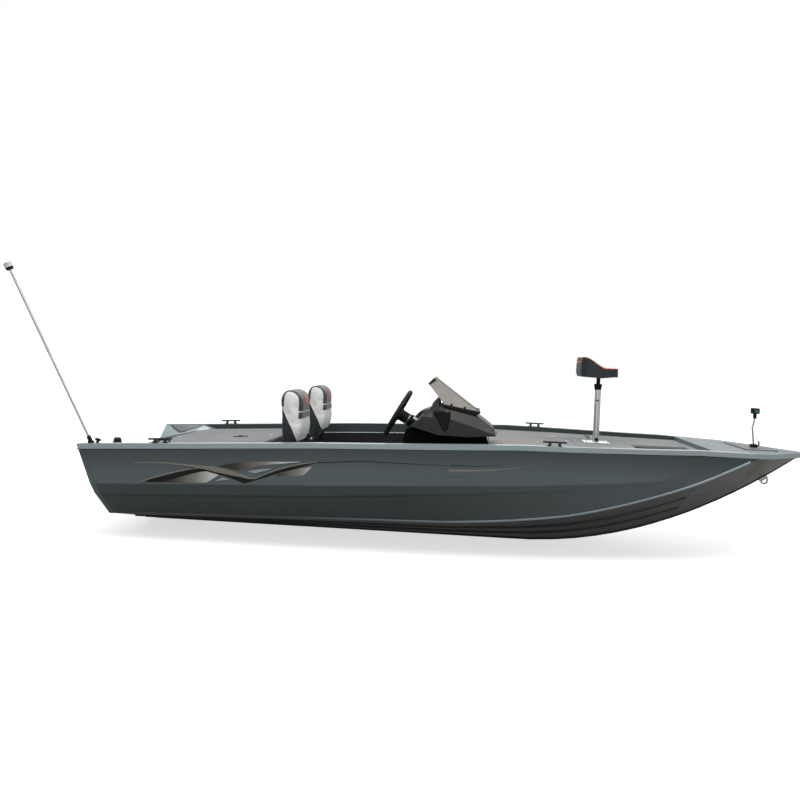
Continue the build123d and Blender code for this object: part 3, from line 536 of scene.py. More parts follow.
def add_modifier(piece, kind, **settings):
    """Adds a modifier and applies it."""
    modifier = piece.modifiers.new(kind.lower(), kind)
    for key, value in settings.items():
        setattr(modifier, key, value)
    pick(piece)
    bpy.ops.object.modifier_apply(modifier=modifier.name)


def round_edges(piece, width, segments=3, angle=30):
    add_modifier(piece, "BEVEL", width=width, segments=segments, limit_method="ANGLE",
                 angle_limit=math.radians(angle), use_clamp_overlap=True)


def outward(piece):
    """Merges doubles and turns all faces outwards."""
    with editing(piece):
        bpy.ops.mesh.remove_doubles(threshold=MERGE)
        bpy.ops.mesh.normals_make_consistent(inside=False)


def dress(piece, name, body, finish, replaced=()):
    """Names a finished piece, gives it its material and hangs it on its body."""
    piece.name = name
    piece.data.name = name
    if finish:
        piece.data.materials.clear()
        piece.data.materials.append(material(finish))
    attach(piece, body)
    if replaced:
        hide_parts(*replaced)
    return piece


def cad_copy(node):
    """A merged copy of a frame node, with flat faces joined, as a start for a detailed piece."""
    piece = frame["nodes"][node].copy()
    piece.data = piece.data.copy()
    piece.parent = None
    piece.matrix_world = Matrix.Identity(4)
    piece.hide_viewport = piece.hide_render = False
    bpy.context.scene.collection.objects.link(piece)
    with editing(piece):
        bpy.ops.mesh.remove_doubles(threshold=MERGE)
        bpy.ops.mesh.dissolve_limited(angle_limit=FLAT)
    return piece


def healed(piece, seam):
    """Joins two solids that meet at a place along the boat."""
    choose(piece, lambda middle, normal: abs(middle.x - seam) < 0.001 and abs(normal.x) > 0.9)
    bpy.ops.mesh.delete(type="FACE")
    with editing(piece):
        bpy.ops.mesh.remove_doubles(threshold=0.0006)
        bpy.ops.mesh.dissolve_limited(angle_limit=FLAT)


def softened(node, finish, width=0.003, segments=3, angle=30, smoothing=35, seam=None):
    """The frame's node with its edges rounded, standing in for it."""
    piece = cad_copy(node)
    if seam:
        healed(piece, seam)
    round_edges(piece, width, segments, angle)
    smooth(piece, smoothing)
    add_modifier(piece, "WEIGHTED_NORMAL", keep_sharp=True, weight=60)
    body = next(name for name, nodes in frame["record"]["behaviour"]["bodies"].items() if node in nodes)
    return dress(piece, node + "_finished", body, finish, (node,))


def box_piece(low, high):
    """A box between two corners, ready to be shaped."""
    low, high = Vector(low), Vector(high)
    deselect()
    bpy.ops.mesh.primitive_cube_add(size=1, location=(low + high) / 2)
    piece = bpy.context.object
    piece.scale = high - low
    settle(piece)
    return piece


def turned(axis):
    """The turn that lays the upright axis along another."""
    return Vector((0, 0, 1)).rotation_difference(Vector(axis)).to_matrix().to_4x4()


def disc(center, radius, depth, axis=(0, 0, 1), sides=32):
    """A cylinder from its middle, turned to an axis."""
    deselect()
    bpy.ops.mesh.primitive_cylinder_add(vertices=sides, radius=radius, depth=depth)
    piece = bpy.context.object
    piece.matrix_world = Matrix.Translation(Vector(center)) @ turned(axis)
    settle(piece)
    return piece


def joined(pieces):
    """Several meshes as one piece."""
    deselect()
    for piece in pieces:
        piece.select_set(True)
    bpy.context.view_layer.objects.active = pieces[0]
    bpy.ops.object.join()
    return bpy.context.object


def repeated(piece, matrices):
    """Copies of a modelled piece at several places, as one mesh."""
    copies = []
    for matrix in matrices:
        twin = twin_of(piece)
        twin.data.transform(matrix)
        copies.append(twin)
    bpy.data.objects.remove(piece)
    return joined(copies)


def choose(piece, test):
    """Enters edit mode with the faces selected whose middle and normal pass the test."""
    pick(piece)
    bpy.ops.object.mode_set(mode="EDIT")
    bpy.ops.mesh.select_mode(type="FACE")
    bpy.ops.mesh.select_all(action="DESELECT")
    mesh = bmesh.from_edit_mesh(piece.data)
    for face in mesh.faces:
        face.select_set(bool(test(face.calc_center_median(), face.normal)))
    bmesh.update_edit_mesh(piece.data)


def on_top(middle, normal):
    return normal.z > 0.9


def inset(piece, test, width, depth=0.0, each=False):
    """Insets the chosen faces and sinks or lifts what they enclose."""
    choose(piece, test)
    bpy.ops.mesh.inset(thickness=width, depth=depth, use_individual=each)
    bpy.ops.object.mode_set(mode="OBJECT")


def paint(piece, finish, test):
    """A second finish on some of a piece's faces."""
    piece.data.materials.append(material(finish))
    for polygon in piece.data.polygons:
        if test(polygon.center, polygon.normal):
            polygon.material_index = len(piece.data.materials) - 1


def plate(points, low, high, upright=False):
    """A plate cut to an outline, flat in x and y or upright in x and z."""
    deselect()
    bpy.ops.mesh.primitive_circle_add(vertices=len(points), radius=1, fill_type="NGON")
    piece = bpy.context.object
    for vertex, (across, along) in zip(piece.data.vertices, points):
        vertex.co = (across, low, along) if upright else (across, along, low)
    move = (0, high - low, 0) if upright else (0, 0, high - low)
    with editing(piece):
        bpy.ops.mesh.extrude_region_move(TRANSFORM_OT_translate={"value": move})
    outward(piece)
    return piece


def combine(piece, other, operation="INTERSECT"):
    """Cuts a piece with another, which goes."""
    add_modifier(piece, "BOOLEAN", object=other, operation=operation, solver="EXACT")
    bpy.data.objects.remove(other)
    return piece


def twin_of(piece):
    """A copy with its own mesh."""
    twin = piece.copy()
    twin.data = piece.data.copy()
    bpy.context.scene.collection.objects.link(twin)
    return twin


def grown(piece, reach):
    """The piece with its skin moved outwards."""
    add_modifier(piece, "DISPLACE", strength=reach, mid_level=0)
    return piece


def surface(piece):
    """A tree to find places on a mesh."""
    mesh = piece.data
    return BVHTree.FromPolygons([vertex.co for vertex in mesh.vertices],
                                [tuple(polygon.vertices) for polygon in mesh.polygons])


def landing(node, start, way=(0, 0, -1)):
    """Where a line from a start meets a frame node, as a matrix turned to the face there."""
    place, normal, _, _ = surface(frame["nodes"][node]).ray_cast(Vector(start), Vector(way))
    return Matrix.Translation(place) @ turned(normal)


def mirrored(piece):
    """A copy on the other side of the boat."""
    twin = twin_of(piece)
    twin.data.transform(Matrix.Diagonal((1, -1, 1, 1)))
    outward(twin)
    return twin


def bead(points, radius, smooth_path=True, closed=False):
    """A round bead or bent tube along a path, as a mesh with closed ends."""
    curve = bpy.data.curves.new("bead", "CURVE")
    curve.dimensions = "3D"
    curve.bevel_depth = radius
    curve.bevel_resolution = 3
    curve.resolution_u = 6
    curve.use_fill_caps = True
    spline = curve.splines.new("NURBS" if smooth_path else "POLY")
    spline.points.add(len(points) - 1)
    for point, place in zip(spline.points, points):
        point.co = (*place, 1)
    if smooth_path:
        spline.order_u = 3
        spline.use_endpoint_u = not closed
    spline.use_cyclic_u = closed
    holder = bpy.data.objects.new("bead", curve)
    bpy.context.scene.collection.objects.link(holder)
    pick(holder)
    bpy.ops.object.convert(target="MESH")
    piece = bpy.context.object
    outward(piece)
    smooth(piece, 50)
    return piece


# Stage

CAMERA_X = -0.0365
CAMERA_Y = -7.24
CAMERA_Z = 1.117
CAMERA_ROLL = 3.37
SHIFT = (-0.0825, -0.05)


class BOAT_OT_stage(bpy.types.Operator):
    """Floor, lights and the camera at the photograph's angle"""
    bl_idname = "boat.stage"
    bl_label = "Stage"

    def execute(self, context):
        settings = context.scene.boat_stage
        self.make_camera(context, settings)
        self.make_floor()
        self.make_lights(settings)
        self.make_sky(context, settings)
        return {"FINISHED"}

    def make_camera(self, context, settings):
        camera = bpy.data.objects.new("camera", bpy.data.cameras.new("camera"))
        context.scene.collection.objects.link(camera)
        context.scene.camera = camera
        roll = math.radians(CAMERA_ROLL)
        right = Vector((math.cos(roll), 0, math.sin(roll)))
        up = Vector((-math.sin(roll), 0, math.cos(roll)))
        back = Vector((0, -1, 0))
        turn = Matrix((right, up, back)).transposed().to_4x4()
        camera.matrix_world = Matrix.Translation((CAMERA_X, CAMERA_Y, CAMERA_Z)) @ turn
        camera.data.sensor_width = 36
        camera.data.lens = settings.lens
        camera.data.shift_x, camera.data.shift_y = SHIFT
        camera.data.clip_end = 200
        context.scene.view_settings.view_transform = "Standard"

    def make_floor(self):
        deselect()
        bpy.ops.mesh.primitive_plane_add(size=120, location=(0, 0, cad_low.z - 0.004))
        floor = bpy.context.object
        floor.name = "floor"
        finish = Finish("pale_floor", Roughness=0.9, Specular_IOR_Level=0.1, Emission_Strength=1.0)
        seen = (finish.node("LightPath") + finish.node("LightPath", output=3) * 0.3
                + finish.node("LightPath", output=6)).clamped()
        away = finish.node("VectorMath", {"operation": "LENGTH"}, output=1,
                           Vector=finish.node("TexCoord", output=3))
        glow = away.ramp(3.0, 9.0) * 0.35 + 0.65
        grain = finish.noise(3, 2) * 0.02
        finish.set("Base Color", finish.blend((0.22, 0.22, 0.22), (0.8, 0.8, 0.8), seen - grain))
        finish.set("Emission Color", finish.blend((0.0, 0.0, 0.0), (1.0, 1.0, 1.0), seen * glow))
        floor.data.materials.append(finish.material)

    def make_lights(self, settings):
        for name, place, size, power, aim in (
                ("key_light", (0.6, -3.0, 6.5), (9, 5), settings.key, (0, 0, 0.3)),
                ("fill_light", (-1.5, -9.5, 2.6), (7, 3), settings.fill, (0, 0, 0.2)),
                ("rim_light", (0, 6.5, 4.5), (9, 3), settings.key * 0.35, (0, 0, 0.3))):
            data = bpy.data.lights.new(name, "AREA")
            data.shape = "RECTANGLE"
            data.size, data.size_y = size
            data.energy = power
            lamp = bpy.data.objects.new(name, data)
            bpy.context.scene.collection.objects.link(lamp)
            lamp.location = place
            lamp.rotation_euler = (Vector(aim) - Vector(place)).to_track_quat("-Z", "Y").to_euler()

    def make_sky(self, context, settings):
        world = bpy.data.worlds.new("sky")
        context.scene.world = world
        world.use_nodes = True
        tree = world.node_tree
        tree.nodes.clear()
        path = tree.nodes.new("ShaderNodeLightPath")
        seen = Socket(tree, path.outputs["Is Camera Ray"])
        glossy = Socket(tree, path.outputs["Is Glossy Ray"])
        through = Socket(tree, path.outputs["Is Transmission Ray"])
        share = (seen + glossy * 0.35 + through).clamped()
        strength = share * (1 - settings.sky) + settings.sky
        back = tree.nodes.new("ShaderNodeBackground")
        back.inputs["Color"].default_value = (1, 1, 1, 1)
        tree.links.new(strength.link, back.inputs["Strength"])
        out = tree.nodes.new("ShaderNodeOutputWorld")
        tree.links.new(back.outputs[0], out.inputs["Surface"])


# Places on the boat, in millimetres and above the keel as in the photograph's measures

RAIL = [(-2490, 980, 607), (-930, 1030, 705), (-100, 1040, 744), (335, 1020, 765), (700, 965, 767),
        (1000, 887, 769), (1300, 809, 772), (1550, 744, 776), (1760, 690, 772), (1970, 635, 768)]
CHINE = [(-2330, 761, 145), (-930, 778, 192), (-100, 782, 211), (335, 781, 247), (700, 765, 294),
         (1000, 742, 365), (1300, 706, 453), (1550, 677, 539), (1760, 652, 632), (1915, 640, 709)]
CREASE = [(-2490, 905, 286), (-930, 955, 361), (-100, 955, 423), (335, 940, 456), (700, 895, 487),
          (1000, 838, 518), (1300, 765, 552), (1970, 635, 736)]
RAIL_WIDTH = 90
SIDES = ((1, "port"), (-1, "starboard"))
LIP_DEPTH = 72


def spot(x, y, z):
    return Vector((x, y, z)) * MM + Vector((0, 0, KEEL))


def raised(points):
    """An upright outline in the frame's metres."""
    return [(x * MM, z * MM + KEEL) for x, z in points]


def flat(points):
    return [(x * MM, y * MM) for x, y in points]


def line_at(line, x):
    """Half breadth and height on a hull line, straight between its points."""
    for (aft, y0, z0), (fore, y1, z1) in zip(line, line[1:]):
        if x <= fore:
            break
    share = (x - aft) / (fore - aft)
    return y0 + (y1 - y0) * share, z0 + (z1 - z0) * share


def rail_at(x):
    return line_at(RAIL, x)


def traced(piece, starts, way):
    """Where lines from the starts meet a mesh."""
    tree = surface(piece)
    hits = [tree.ray_cast(start, Vector(way))[0] for start in starts]
    return [hit for hit in hits if hit is not None]


def closer(points, steps=6):
    """A line's points with more between them."""
    path = [points[0]]
    for start, end in zip(points, points[1:]):
        path += [start.lerp(end, number / steps) for number in range(1, steps + 1)]
    return path


def film(node, cutter, reach, name, finish, slot, body="hull"):
    """A thin layer on a frame node inside the outline of a cutter."""
    layer = combine(grown(cad_copy(node), reach), cutter)
    return dress(layer, name, body, finish)


# Hull

class BOAT_OT_hull(bpy.types.Operator):
    """Paint on the hull's shell, its rails, beads, lips and stern corners"""
    bl_idname = "boat.hull"
    bl_label = "Hull"

    # each layer of the corner inlays: its label, finish, height and corners
    inlays = [
        ("edge", "stripe_black", 0.001, [(-2446, 876), (-2146, 876), (-2276, 692), (-2318, 692)]),
        ("panel", "stripe_grey", 0.002, [(-2428, 866), (-2166, 866), (-2286, 706), (-2308, 706)]),
    ]

    def execute(self, context):
        settings = context.scene.boat_hull
        for node in ("hull_side_port", "hull_side_starboard"):
            side = softened(node, "hull_paint", 0.0015, 2, 12, 10)
            # Painted shade: darker copies of the hull paint on the faces that look down, under the crease and
            # on the step, aft of x = 1.1 m.
            paint(side, "band_paint", lambda middle, normal: normal.z < -0.25 and middle.x < 1.1)
            paint(side, "low_paint", lambda middle, normal: self.under_crease(middle) < 0 and middle.x < 1.1)
            paint(side, "step_paint", lambda middle, normal: -0.019 < self.under_crease(middle) < -0.003
                  and normal.z < -0.5 and middle.x < 1.1)
        softened("hull_bottom", "bottom_paint", 0.002, 2, 40, 12)
        softened("transom", "hull_paint", 0.006)
        for node in ("gunwale_port", "gunwale_starboard"):
            rail = softened(node, "rail_paint", settings.edge, 4, 40, 35)
            # Painted shade on the rails' inner faces.
            paint(rail, "flat_paint", lambda middle, normal: normal.y * middle.y < 0 and abs(normal.y) > 0.95)
        cap = softened("bow_cap", "cap_paint", 0.003, 3, 40)
        # The plate's sides get the paler rail paint, a painted highlight.
        paint(cap, "rail_paint", lambda middle, normal: abs(normal.z) < 0.7 and middle.x > 1.7)
        softened("bow_hatch", "cap_paint", 0.002, 2, 40)
        softened("stern_corner_caps", "rail_paint", 0.0015)
        for node in ("keel_strip", "bottom_strakes"):
            softened(node, "bottom_paint", 0.002, 2)
        self.make_beads(settings)
        self.make_stem()
        self.make_inlays()
        self.make_drain()
        return {"FINISHED"}

    def make_beads(self, settings):
        """The chine's bead, the ledge under each lip and a black bead as a painted shadow line under each
        rail.
        """
        ledge_places = (-1395, -1150, -930, -520, -100, 0, 95)
        for side, name in SIDES:
            chine = bead([spot(x, side * (y + 1), z + 3) for x, y, z in CHINE], settings.chine)
            # The chine bead with its painted highlight.
            dress(chine, f"chine_bead_{name}", "hull", "chine_paint")
            path = [spot(x, side * (rail_at(x)[0] - RAIL_WIDTH - 2), rail_at(x)[1] - LIP_DEPTH - 4)
                    for x in ledge_places]
            dress(bead(path, 0.005), f"lip_ledge_{name}", "hull", "rail_paint")
            # A black bead as painted shade under the rail.
            path = [spot(x, side * (y - 3.2), z - 34) for x, y, z in RAIL[:-1]]
            dress(bead(path, 0.003), f"rail_shadow_line_{name}", "hull", "black_plastic")

    def under_crease(self, middle):
        return middle.z - line_at(CREASE, middle.x / MM)[1] * MM - KEEL

    def make_stem(self):
        """The dark strip along the stem."""
        starts = [spot(x, 0, -300) for x in range(1700, 2421, 60)]
        path = traced(frame["nodes"]["hull_bottom"], starts, (0, 0, 1))
        strip = bead([place + Vector((0, 0, 0.004)) for place in path], 0.012)
        dress(strip, "stem_strip", "hull", "black_plastic")

    def make_inlays(self):
        """Grey panels with dark edges on the stern's sloping corners."""
        for side, name in SIDES:
            for label, finish, height, corners in self.inlays:
                panel = draped("stern_corner_caps", [(x * MM, side * y * MM) for x, y in corners], height)
                dress(panel, f"corner_{label}_{name}", "hull", finish)

    def make_drain(self):
        """A drain plug low on the transom."""
        matrix = landing("transom", spot(-2800, 0, 45), (1, 0, 0))
        plug = disc((0, 0, 0.003), 0.024, 0.01)
        inset(plug, on_top, 0.008, -0.003)
        knob = disc((0, 0, 0.008), 0.011, 0.014, sides=6)
        plug = joined([plug, knob])
        round_edges(plug, 0.001, 2)
        plug.data.transform(matrix)
        smooth(plug)
        dress(plug, "drain_plug", "hull", "steel")


class BOAT_OT_stripes(bpy.types.Operator):
    """The printed stripes on both sides"""
    bl_idname = "boat.stripes"
    bl_label = "Stripes"

    # finish, thickness in millimetres, the upper line and the lower line
    stripes = [
        ("stripe_tan", 0.8,
         [(-2111, 509), (-2009, 519), (-1920, 522), (-1831, 520), (-1741, 517), (-1670, 515), (-1607, 515),
          (-1517, 498), (-1426, 477), (-1371, 458), (-1340, 457), (-1266, 491), (-1205, 521), (-1126, 548),
          (-1038, 571), (-941, 586)],
         [(-2111, 503), (-2009, 513), (-1920, 515), (-1830, 510), (-1740, 501), (-1668, 493), (-1605, 481),
          (-1515, 467), (-1425, 455), (-1380, 447), (-1335, 449), (-1257, 488), (-1196, 514), (-1117, 541),
          (-1029, 565), (-941, 582)]),
        ("stripe_black", 0.7,
         [(-1839, 511), (-1740, 501), (-1668, 493), (-1605, 481), (-1515, 467), (-1425, 455), (-1380, 447),
          (-1335, 449), (-1257, 488), (-1196, 514), (-1117, 541), (-1029, 565), (-945, 581)],
         [(-1821, 508), (-1704, 490), (-1632, 480), (-1577, 467), (-1496, 446), (-1446, 429), (-1403, 416),
          (-1317, 446), (-1234, 479), (-1168, 503), (-1081, 531), (-1002, 559), (-944, 578)]),
        ("stripe_tan", 0.8,
         [(-2106, 377), (-2021, 412), (-1933, 444), (-1837, 473), (-1749, 493), (-1695, 498)],
         [(-2080, 382), (-2007, 408), (-1924, 436), (-1832, 465), (-1739, 489), (-1695, 495)]),
        ("stripe_black", 0.7,
         [(-2046, 389), (-2007, 408), (-1924, 436), (-1832, 465), (-1739, 489), (-1695, 495), (-1659, 493)],
         [(-2037, 389), (-1957, 396), (-1887, 409), (-1817, 433), (-1747, 457), (-1694, 473), (-1614, 486)]),
        ("fade_aft", 0.6,
         [(-2037, 388), (-1957, 396), (-1887, 409), (-1817, 433), (-1747, 457), (-1659, 482), (-1570, 460)],
         [(-2080, 382), (-1957, 388), (-1886, 393), (-1814, 396), (-1743, 400), (-1690, 403), (-1649, 406)]),
        ("stripe_grey", 0.9, [(-1562, 458), (-1602, 431)], [(-1571, 448), (-1636, 405)]),
        ("stripe_pale", 0.9, [(-1588, 424), (-1545, 447), (-1506, 437)],
         [(-1588, 421), (-1544, 429), (-1506, 434)]),
        ("fade_middle", 0.6,
         [(-1580, 517), (-1492, 541), (-1386, 558), (-1270, 567), (-1137, 573), (-1048, 581)],
         [(-1562, 515), (-1459, 498), (-1393, 516), (-1296, 542), (-1198, 556), (-1057, 577)]),
        ("stripe_pale", 0.9, [(-1384, 498), (-1321, 513), (-1228, 526)],
         [(-1373, 492), (-1335, 487), (-1245, 517)]),
        ("stripe_grey", 0.75, [(-1450, 500), (-1375, 517), (-1286, 534), (-1197, 539)],
         [(-1427, 494), (-1359, 485), (-1293, 486), (-1227, 518)]),
        ("fade_front", 0.6, [(-1212, 480), (-1133, 511), (-1054, 534), (-976, 551)],
         [(-1192, 480), (-1140, 479), (-1082, 482), (-1021, 496)]),
        ("stripe_black", 0.7,
         [(-947, 582), (-800, 596), (-668, 609), (-579, 610), (-420, 609), (-251, 610), (-119, 612)],
         [(-946, 577), (-799, 591), (-668, 604), (-578, 605), (-420, 605), (-251, 607), (-119, 610)]),
        ("stripe_black", 0.7, [(-98, 616), (54, 618), (218, 629)], [(-98, 611), (55, 614), (218, 627)]),
        ("stripe_tan", 0.8, [(-105, 587), (56, 593), (214, 604), (371, 628), (475, 652), (560, 679)],
         [(-110, 571), (35, 579), (180, 593), (335, 618), (455, 646), (560, 677)]),
        ("stripe_black", 0.7, [(-110, 571), (35, 579), (180, 593), (335, 618), (455, 646), (560, 677)],
         [(-118, 551), (5, 562), (131, 580), (277, 606), (423, 638), (560, 675)]),
        ("stripe_grey", 0.9, [(-112, 542), (29, 553)], [(-112, 533), (29, 550)]),
    ]

    def execute(self, context):
        ribbons = {}
        for finish, thickness, upper, lower in self.stripes:
            outline = raised(upper + lower[::-1])
            ribbon = combine(self.skin(thickness * MM), plate(outline, -1.2, -0.6, upright=True))
            ribbons.setdefault(finish, []).append(ribbon)
        for finish, pieces in ribbons.items():
            band = joined(pieces)
            other = mirrored(band)
            for piece, side in ((band, "starboard"), (other, "port")):
                dress(piece, f"side_{finish}_{side}", "hull", finish)
        return {"FINISHED"}

    def skin(self, thickness):
        """The starboard side's upper panel as a thin closed film."""
        skin = cad_copy("hull_side_starboard")
        choose(skin, lambda middle, normal: not (normal.y < -0.85 and normal.z > -0.25))
        bpy.ops.mesh.delete(type="FACE")
        bpy.ops.object.mode_set(mode="OBJECT")
        add_modifier(skin, "SOLIDIFY", thickness=thickness, offset=1)
        return skin


# Decks

class BOAT_OT_decks(bpy.types.Operator):
    """Carpeted decks and lids, their latches, the ruler marks, a pull strap and the bins"""
    bl_idname = "boat.decks"
    bl_label = "Decks"

    # each lid with the place of its latch, in metres
    latches = {
        "rear_lid_center": (-2.118, 0), "rear_lid_port": (-1.482, 0.21),
        "rear_lid_starboard": (-1.482, -0.565), "bow_lid_center": (0.745, 0),
        "rod_lid_port": (0.67, 0.396), "rod_lid_starboard": (0.67, -0.396), "bow_hatch": (1.782, -0.089),
    }

    def execute(self, context):
        softened("rear_deck", "deck_carpet", 0.002, 2)
        softened("bow_deck", "deck_carpet", 0.002, 2, seam=1.15)
        for node in self.latches:
            if node != "bow_hatch":
                softened(node, "deck_carpet", 0.003, 2)
        for node in ("cockpit_floor", "cockpit_liners", "rear_bulkhead", "bow_bulkhead", "seat_boxes"):
            softened(node, "dark_carpet", 0.004)
        for node in ("rear_bins", "bow_bins", "bow_hatch_bin", "splash_well", "pedal_recess",
                     "rear_seat_socket"):
            softened(node, "black_plastic", 0.003)
        self.make_latches()
        self.make_ruler()
        self.make_strap()
        self.make_socket_screws()
        return {"FINISHED"}

    def make_latches(self):
        """One flush latch with a lift tab, copied to the free edge of each lid."""
        cup = disc((0, 0, 0), 0.027, 0.006)
        inset(cup, on_top, 0.005)
        inset(cup, lambda middle, normal: normal.z > 0.9 and middle.xy.length < 0.002, 0.001, -0.004)
        tab = box_piece((-0.018, -0.007, -0.001), (0.018, 0.007, 0.0022))
        inset(tab, on_top, 0.002, -0.0008)
        latch = joined([cup, tab])
        round_edges(latch, 0.0007, 2)
        smooth(latch)
        for lid, (x, y) in self.latches.items():
            copy = twin_of(latch)
            copy.data.transform(landing(lid, (x, y, 3)))
            dress(copy, f"latch_{lid}", lid, "pole_metal")
        bpy.data.objects.remove(latch)

    def make_ruler(self):
        """Orange measuring marks across the centre lid: a line with short and long ticks."""
        marks = [plate(flat([(200, -226), (610, -226), (610, -220), (200, -220)]), 0.3, 0.7)]
        for number in range(17):
            x = 206 + number * 25
            reach = 70 if number % 4 == 0 else 34
            tick = [(x, -218), (x + 5, -218), (x + 5, reach - 218), (x, reach - 218)]
            marks.append(plate(flat(tick), 0.3, 0.7))
        film("bow_lid_center", joined(marks), 0.0016, "ruler_marks", "mark", "deck_carpet", "bow_lid_center")

    def make_strap(self):
        """A pull strap across the port rod lid."""
        inner = [(938, 372), (944, 450), (951, 540), (954, 620), (952, 700)]
        outline = inner + [(x + 24, y) for x, y in reversed(inner)]
        film("rod_lid_port", plate(flat(outline), 0.3, 0.7), 0.005, "rod_lid_strap", "black_plastic",
             "black_plastic", "rod_lid_port")

    def make_socket_screws(self):
        driven("socket_screws", "rear_seat_socket", 0.006,
               [Vector((-1.68, 0.06, 3)) + around(turn, 0.043) for turn in (0.8, 2.37, 3.94, 5.5)])


def draped(node, corners, height, thickness=0.0015):
    """A thin four-sided sheet laid on top of a frame node."""
    bpy.ops.mesh.primitive_grid_add(x_subdivisions=8, y_subdivisions=8, size=2)
    sheet = bpy.context.object
    starts = []
    for vertex in sheet.data.vertices:
        along, across = (vertex.co.x + 1) / 2, (vertex.co.y + 1) / 2
        (x0, y0), (x1, y1), (x2, y2), (x3, y3) = corners
        starts.append(((x0 + (x1 - x0) * along) * (1 - across) + (x3 + (x2 - x3) * along) * across,
                       (y0 + (y1 - y0) * along) * (1 - across) + (y3 + (y2 - y3) * along) * across, 3))
    for vertex, place in zip(sheet.data.vertices, traced(frame["nodes"][node], starts, (0, 0, -1))):
        vertex.co = place + Vector((0, 0, height))
    add_modifier(sheet, "SOLIDIFY", thickness=thickness, offset=0)
    outward(sheet)
    smooth(sheet, 60)
    return sheet


def screw_head(radius):
    """A domed screw head with a cross recess, standing on z = 0."""
    head = disc((0, 0, radius * 0.2), radius, radius * 0.5, sides=24)
    round_edges(head, radius * 0.28, 3)
    for turn in (0, math.pi / 2):
        slot = box_piece((-radius * 0.5, -radius * 0.1, radius * 0.25), (radius * 0.5, radius * 0.1, radius))
        slot.data.transform(Matrix.Rotation(turn, 4, "Z"))
        combine(head, slot, "DIFFERENCE")
    smooth(head)
    return head


def driven(name, node, radius, starts, finish="steel", ways=()):
    """Screws where lines from the starts meet a frame node, as one piece."""
    ways = ways or [(0, 0, -1)] * len(starts)
    places = [landing(node, start, way) for start, way in zip(starts, ways)]
    dress(repeated(screw_head(radius), places), name, "hull", finish)


# Helm

WHEEL_TILT = math.radians(28)
WHEEL_FORWARD = Vector((math.cos(WHEEL_TILT), 0, -math.sin(WHEEL_TILT)))
WHEEL_CENTER = spot(-482, -500, 896)
DASH_WAY = Vector((0.776, 0, -0.631))


def around(angle, radius):
    """A place on a flat circle, its angle in radians."""
    return Vector((radius * math.cos(angle), radius * math.sin(angle), 0))


def ring(center, axis, radius, thickness, steps=24):
    """A round bead in a circle about an axis."""
    turn = Vector((0, 0, 1)).rotation_difference(Vector(axis))
    points = [Vector(center) + turn @ around(step * math.tau / steps, radius) for step in range(steps)]
    return bead(points, thickness, closed=True)


